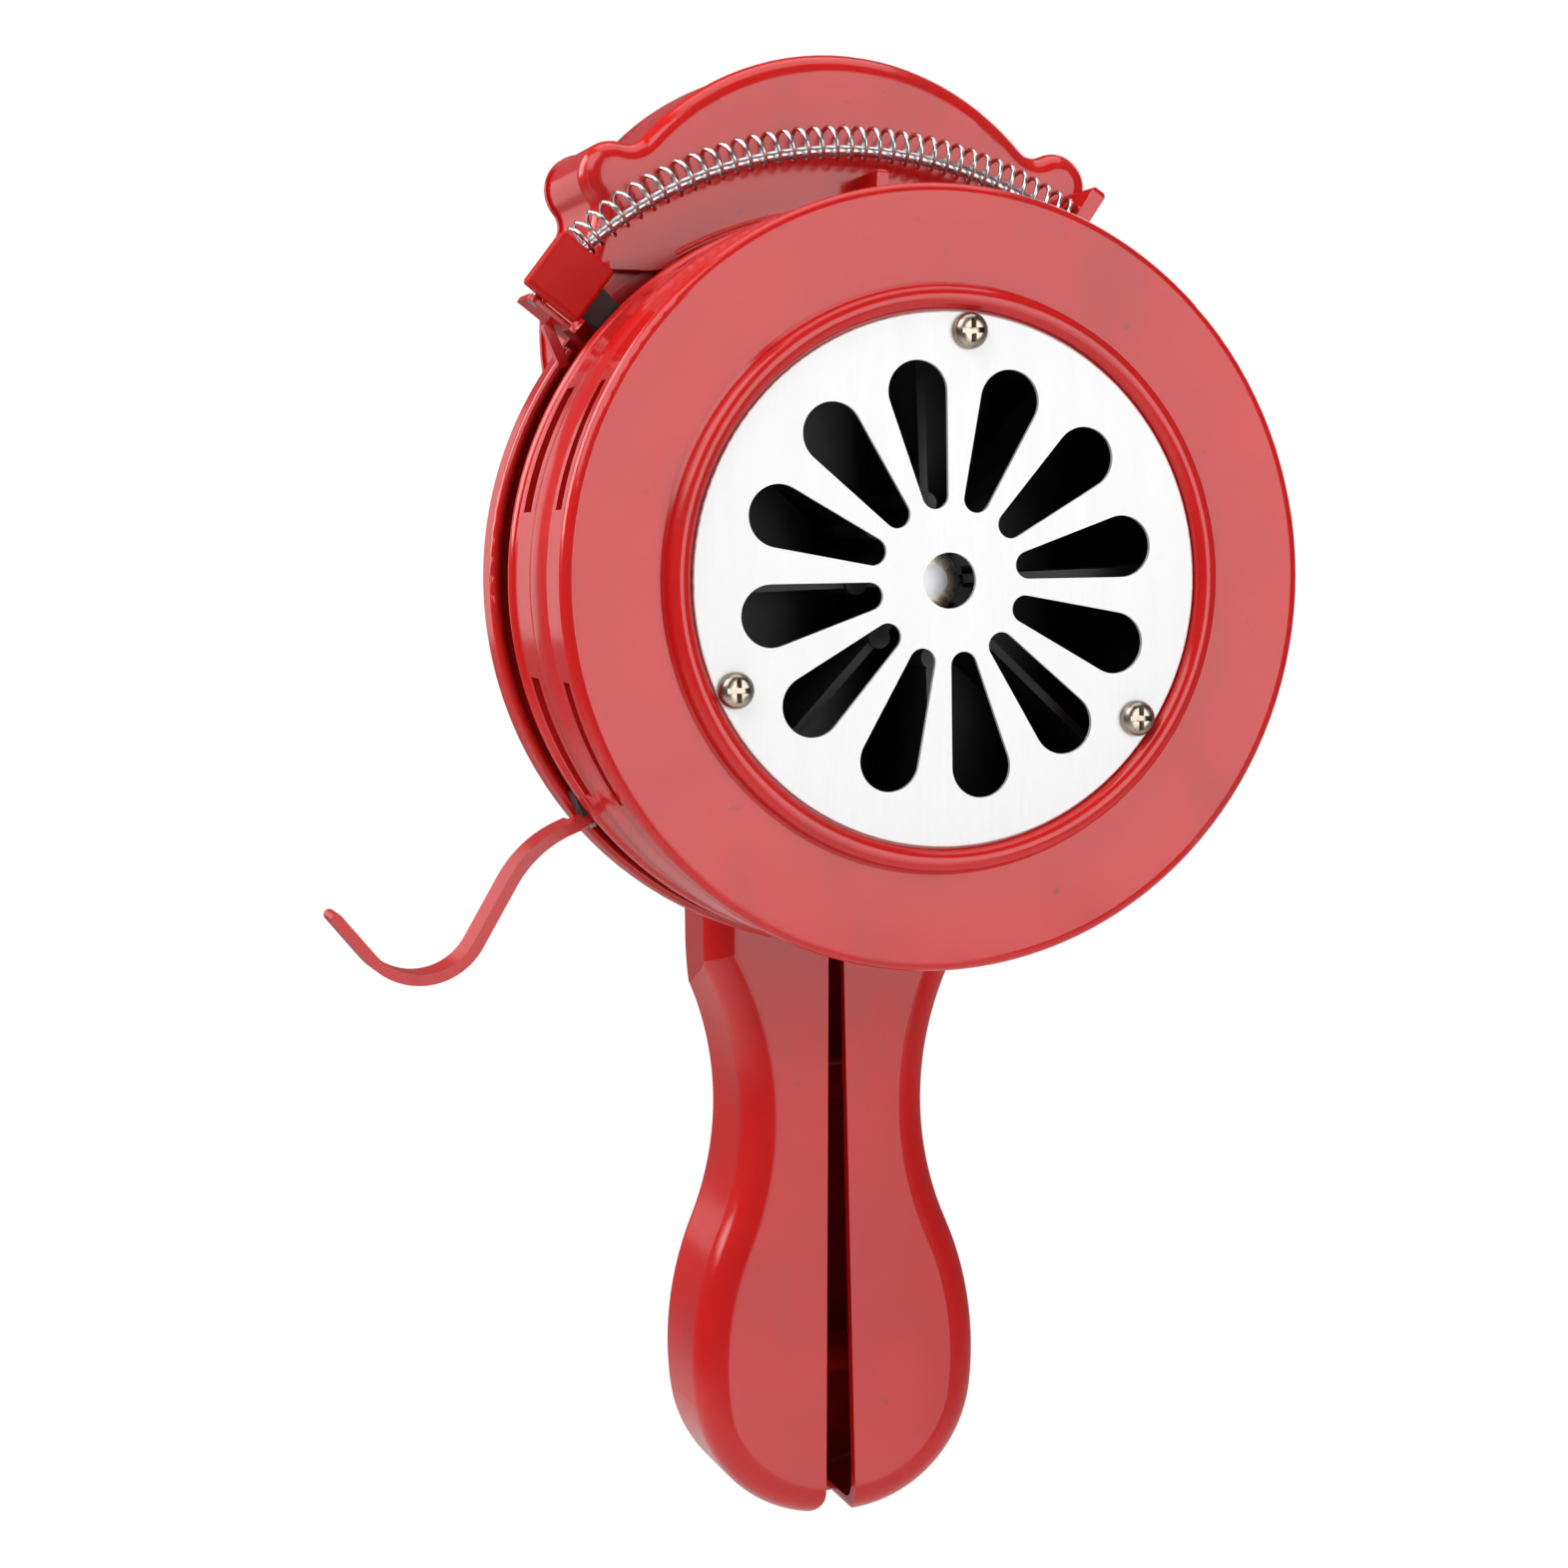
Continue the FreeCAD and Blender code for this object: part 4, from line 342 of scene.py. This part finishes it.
bpy.ops.mesh.primitive_plane_add(size=FLOOR_SIZE, location=(0, 0, FLOOR_Z))
floor = bpy.context.active_object
floor.name = "floor"
floor_white, shader, nodes, links = new_material("floor_white")
shader.inputs["Base Color"].default_value = (*grey(0.9), 1.0)
shader.inputs["Roughness"].default_value = 0.9
shining = nodes.new("ShaderNodeEmission")
shining.inputs["Color"].default_value = (*grey(1.0), 1.0)
white_to_camera(nodes, links, shader.outputs["BSDF"], shining.outputs["Emission"], nodes["Material Output"])
floor.data.materials.append(floor_white)

world = bpy.data.worlds.new("studio")
bpy.context.scene.world = world
world.use_nodes = True
nodes = world.node_tree.nodes
dim = nodes["Background"]
dim.inputs["Color"].default_value = (*grey(1.0), 1.0)
dim.inputs["Strength"].default_value = ROOM_LIGHT
bright = nodes.new("ShaderNodeBackground")
bright.inputs["Color"].default_value = (*grey(1.0), 1.0)
white_to_camera(nodes, world.node_tree.links, dim.outputs["Background"], bright.outputs["Background"],
                nodes["World Output"])


def soft_box(name, place, aim, width, height, power):
    """A rectangular lamp at a place, turned to face a point and unseen itself."""
    lamp = bpy.data.lights.new(name, "AREA")
    lamp.shape = "RECTANGLE"
    lamp.size = width
    lamp.size_y = height
    lamp.energy = power
    holder = bpy.data.objects.new(name, lamp)
    bpy.context.scene.collection.objects.link(holder)
    holder.location = place
    holder.rotation_euler = (Vector(aim) - Vector(place)).to_track_quat("-Z", "Y").to_euler()
    holder.visible_camera = False


soft_box("front_box", (0.45, -1.25, 0.27), (0, 0, 0.05), 0.8, 0.85, 6.6)
soft_box("low_front_box", (0.24, -1.25, -0.42), (0, 0, -0.02), 0.58, 0.55, 1.8)
soft_box("high_left_box", (-0.9, -0.55, 1.0), (0, 0, 0.08), 1.0, 1.0, 10.0)
soft_box("back_left_box", (-1.15, 0.55, 0.75), (0, 0, 0.08), 1.0, 1.0, 16.0)
soft_box("top_box", (0.1, 0.0, 1.4), (0, 0, 0.08), 1.2, 1.2, 8.0)
soft_box("behind_box", (-0.42, 1.35, 0.22), (0, 0, 0.1), 0.5, 0.5, 0.35)
soft_box("back_right_box", (1.0, 0.9, 0.6), (0, 0, 0.08), 0.8, 0.8, 4.0)

CAMERA_PLACE = (-0.1980, -0.5920, 0.1174)
CAMERA_AZIMUTH = -17.95
CAMERA_ELEVATION = 4.47
CAMERA_ROLL = -0.77
CAMERA_LENS = 67.68
camera = bpy.data.cameras.new("camera")
camera.lens = CAMERA_LENS
camera.sensor_width = 36.0
holder = bpy.data.objects.new("camera", camera)
bpy.context.scene.collection.objects.link(holder)
turn = Matrix.Rotation(math.radians(CAMERA_AZIMUTH), 4, "Z")
tilt = Matrix.Rotation(math.radians(90 - CAMERA_ELEVATION), 4, "X")
roll = Matrix.Rotation(math.radians(CAMERA_ROLL), 4, "Z")
holder.matrix_world = Matrix.Translation(CAMERA_PLACE) @ turn @ tilt @ roll
bpy.context.scene.camera = holder
bpy.context.scene.view_settings.view_transform = "Standard"
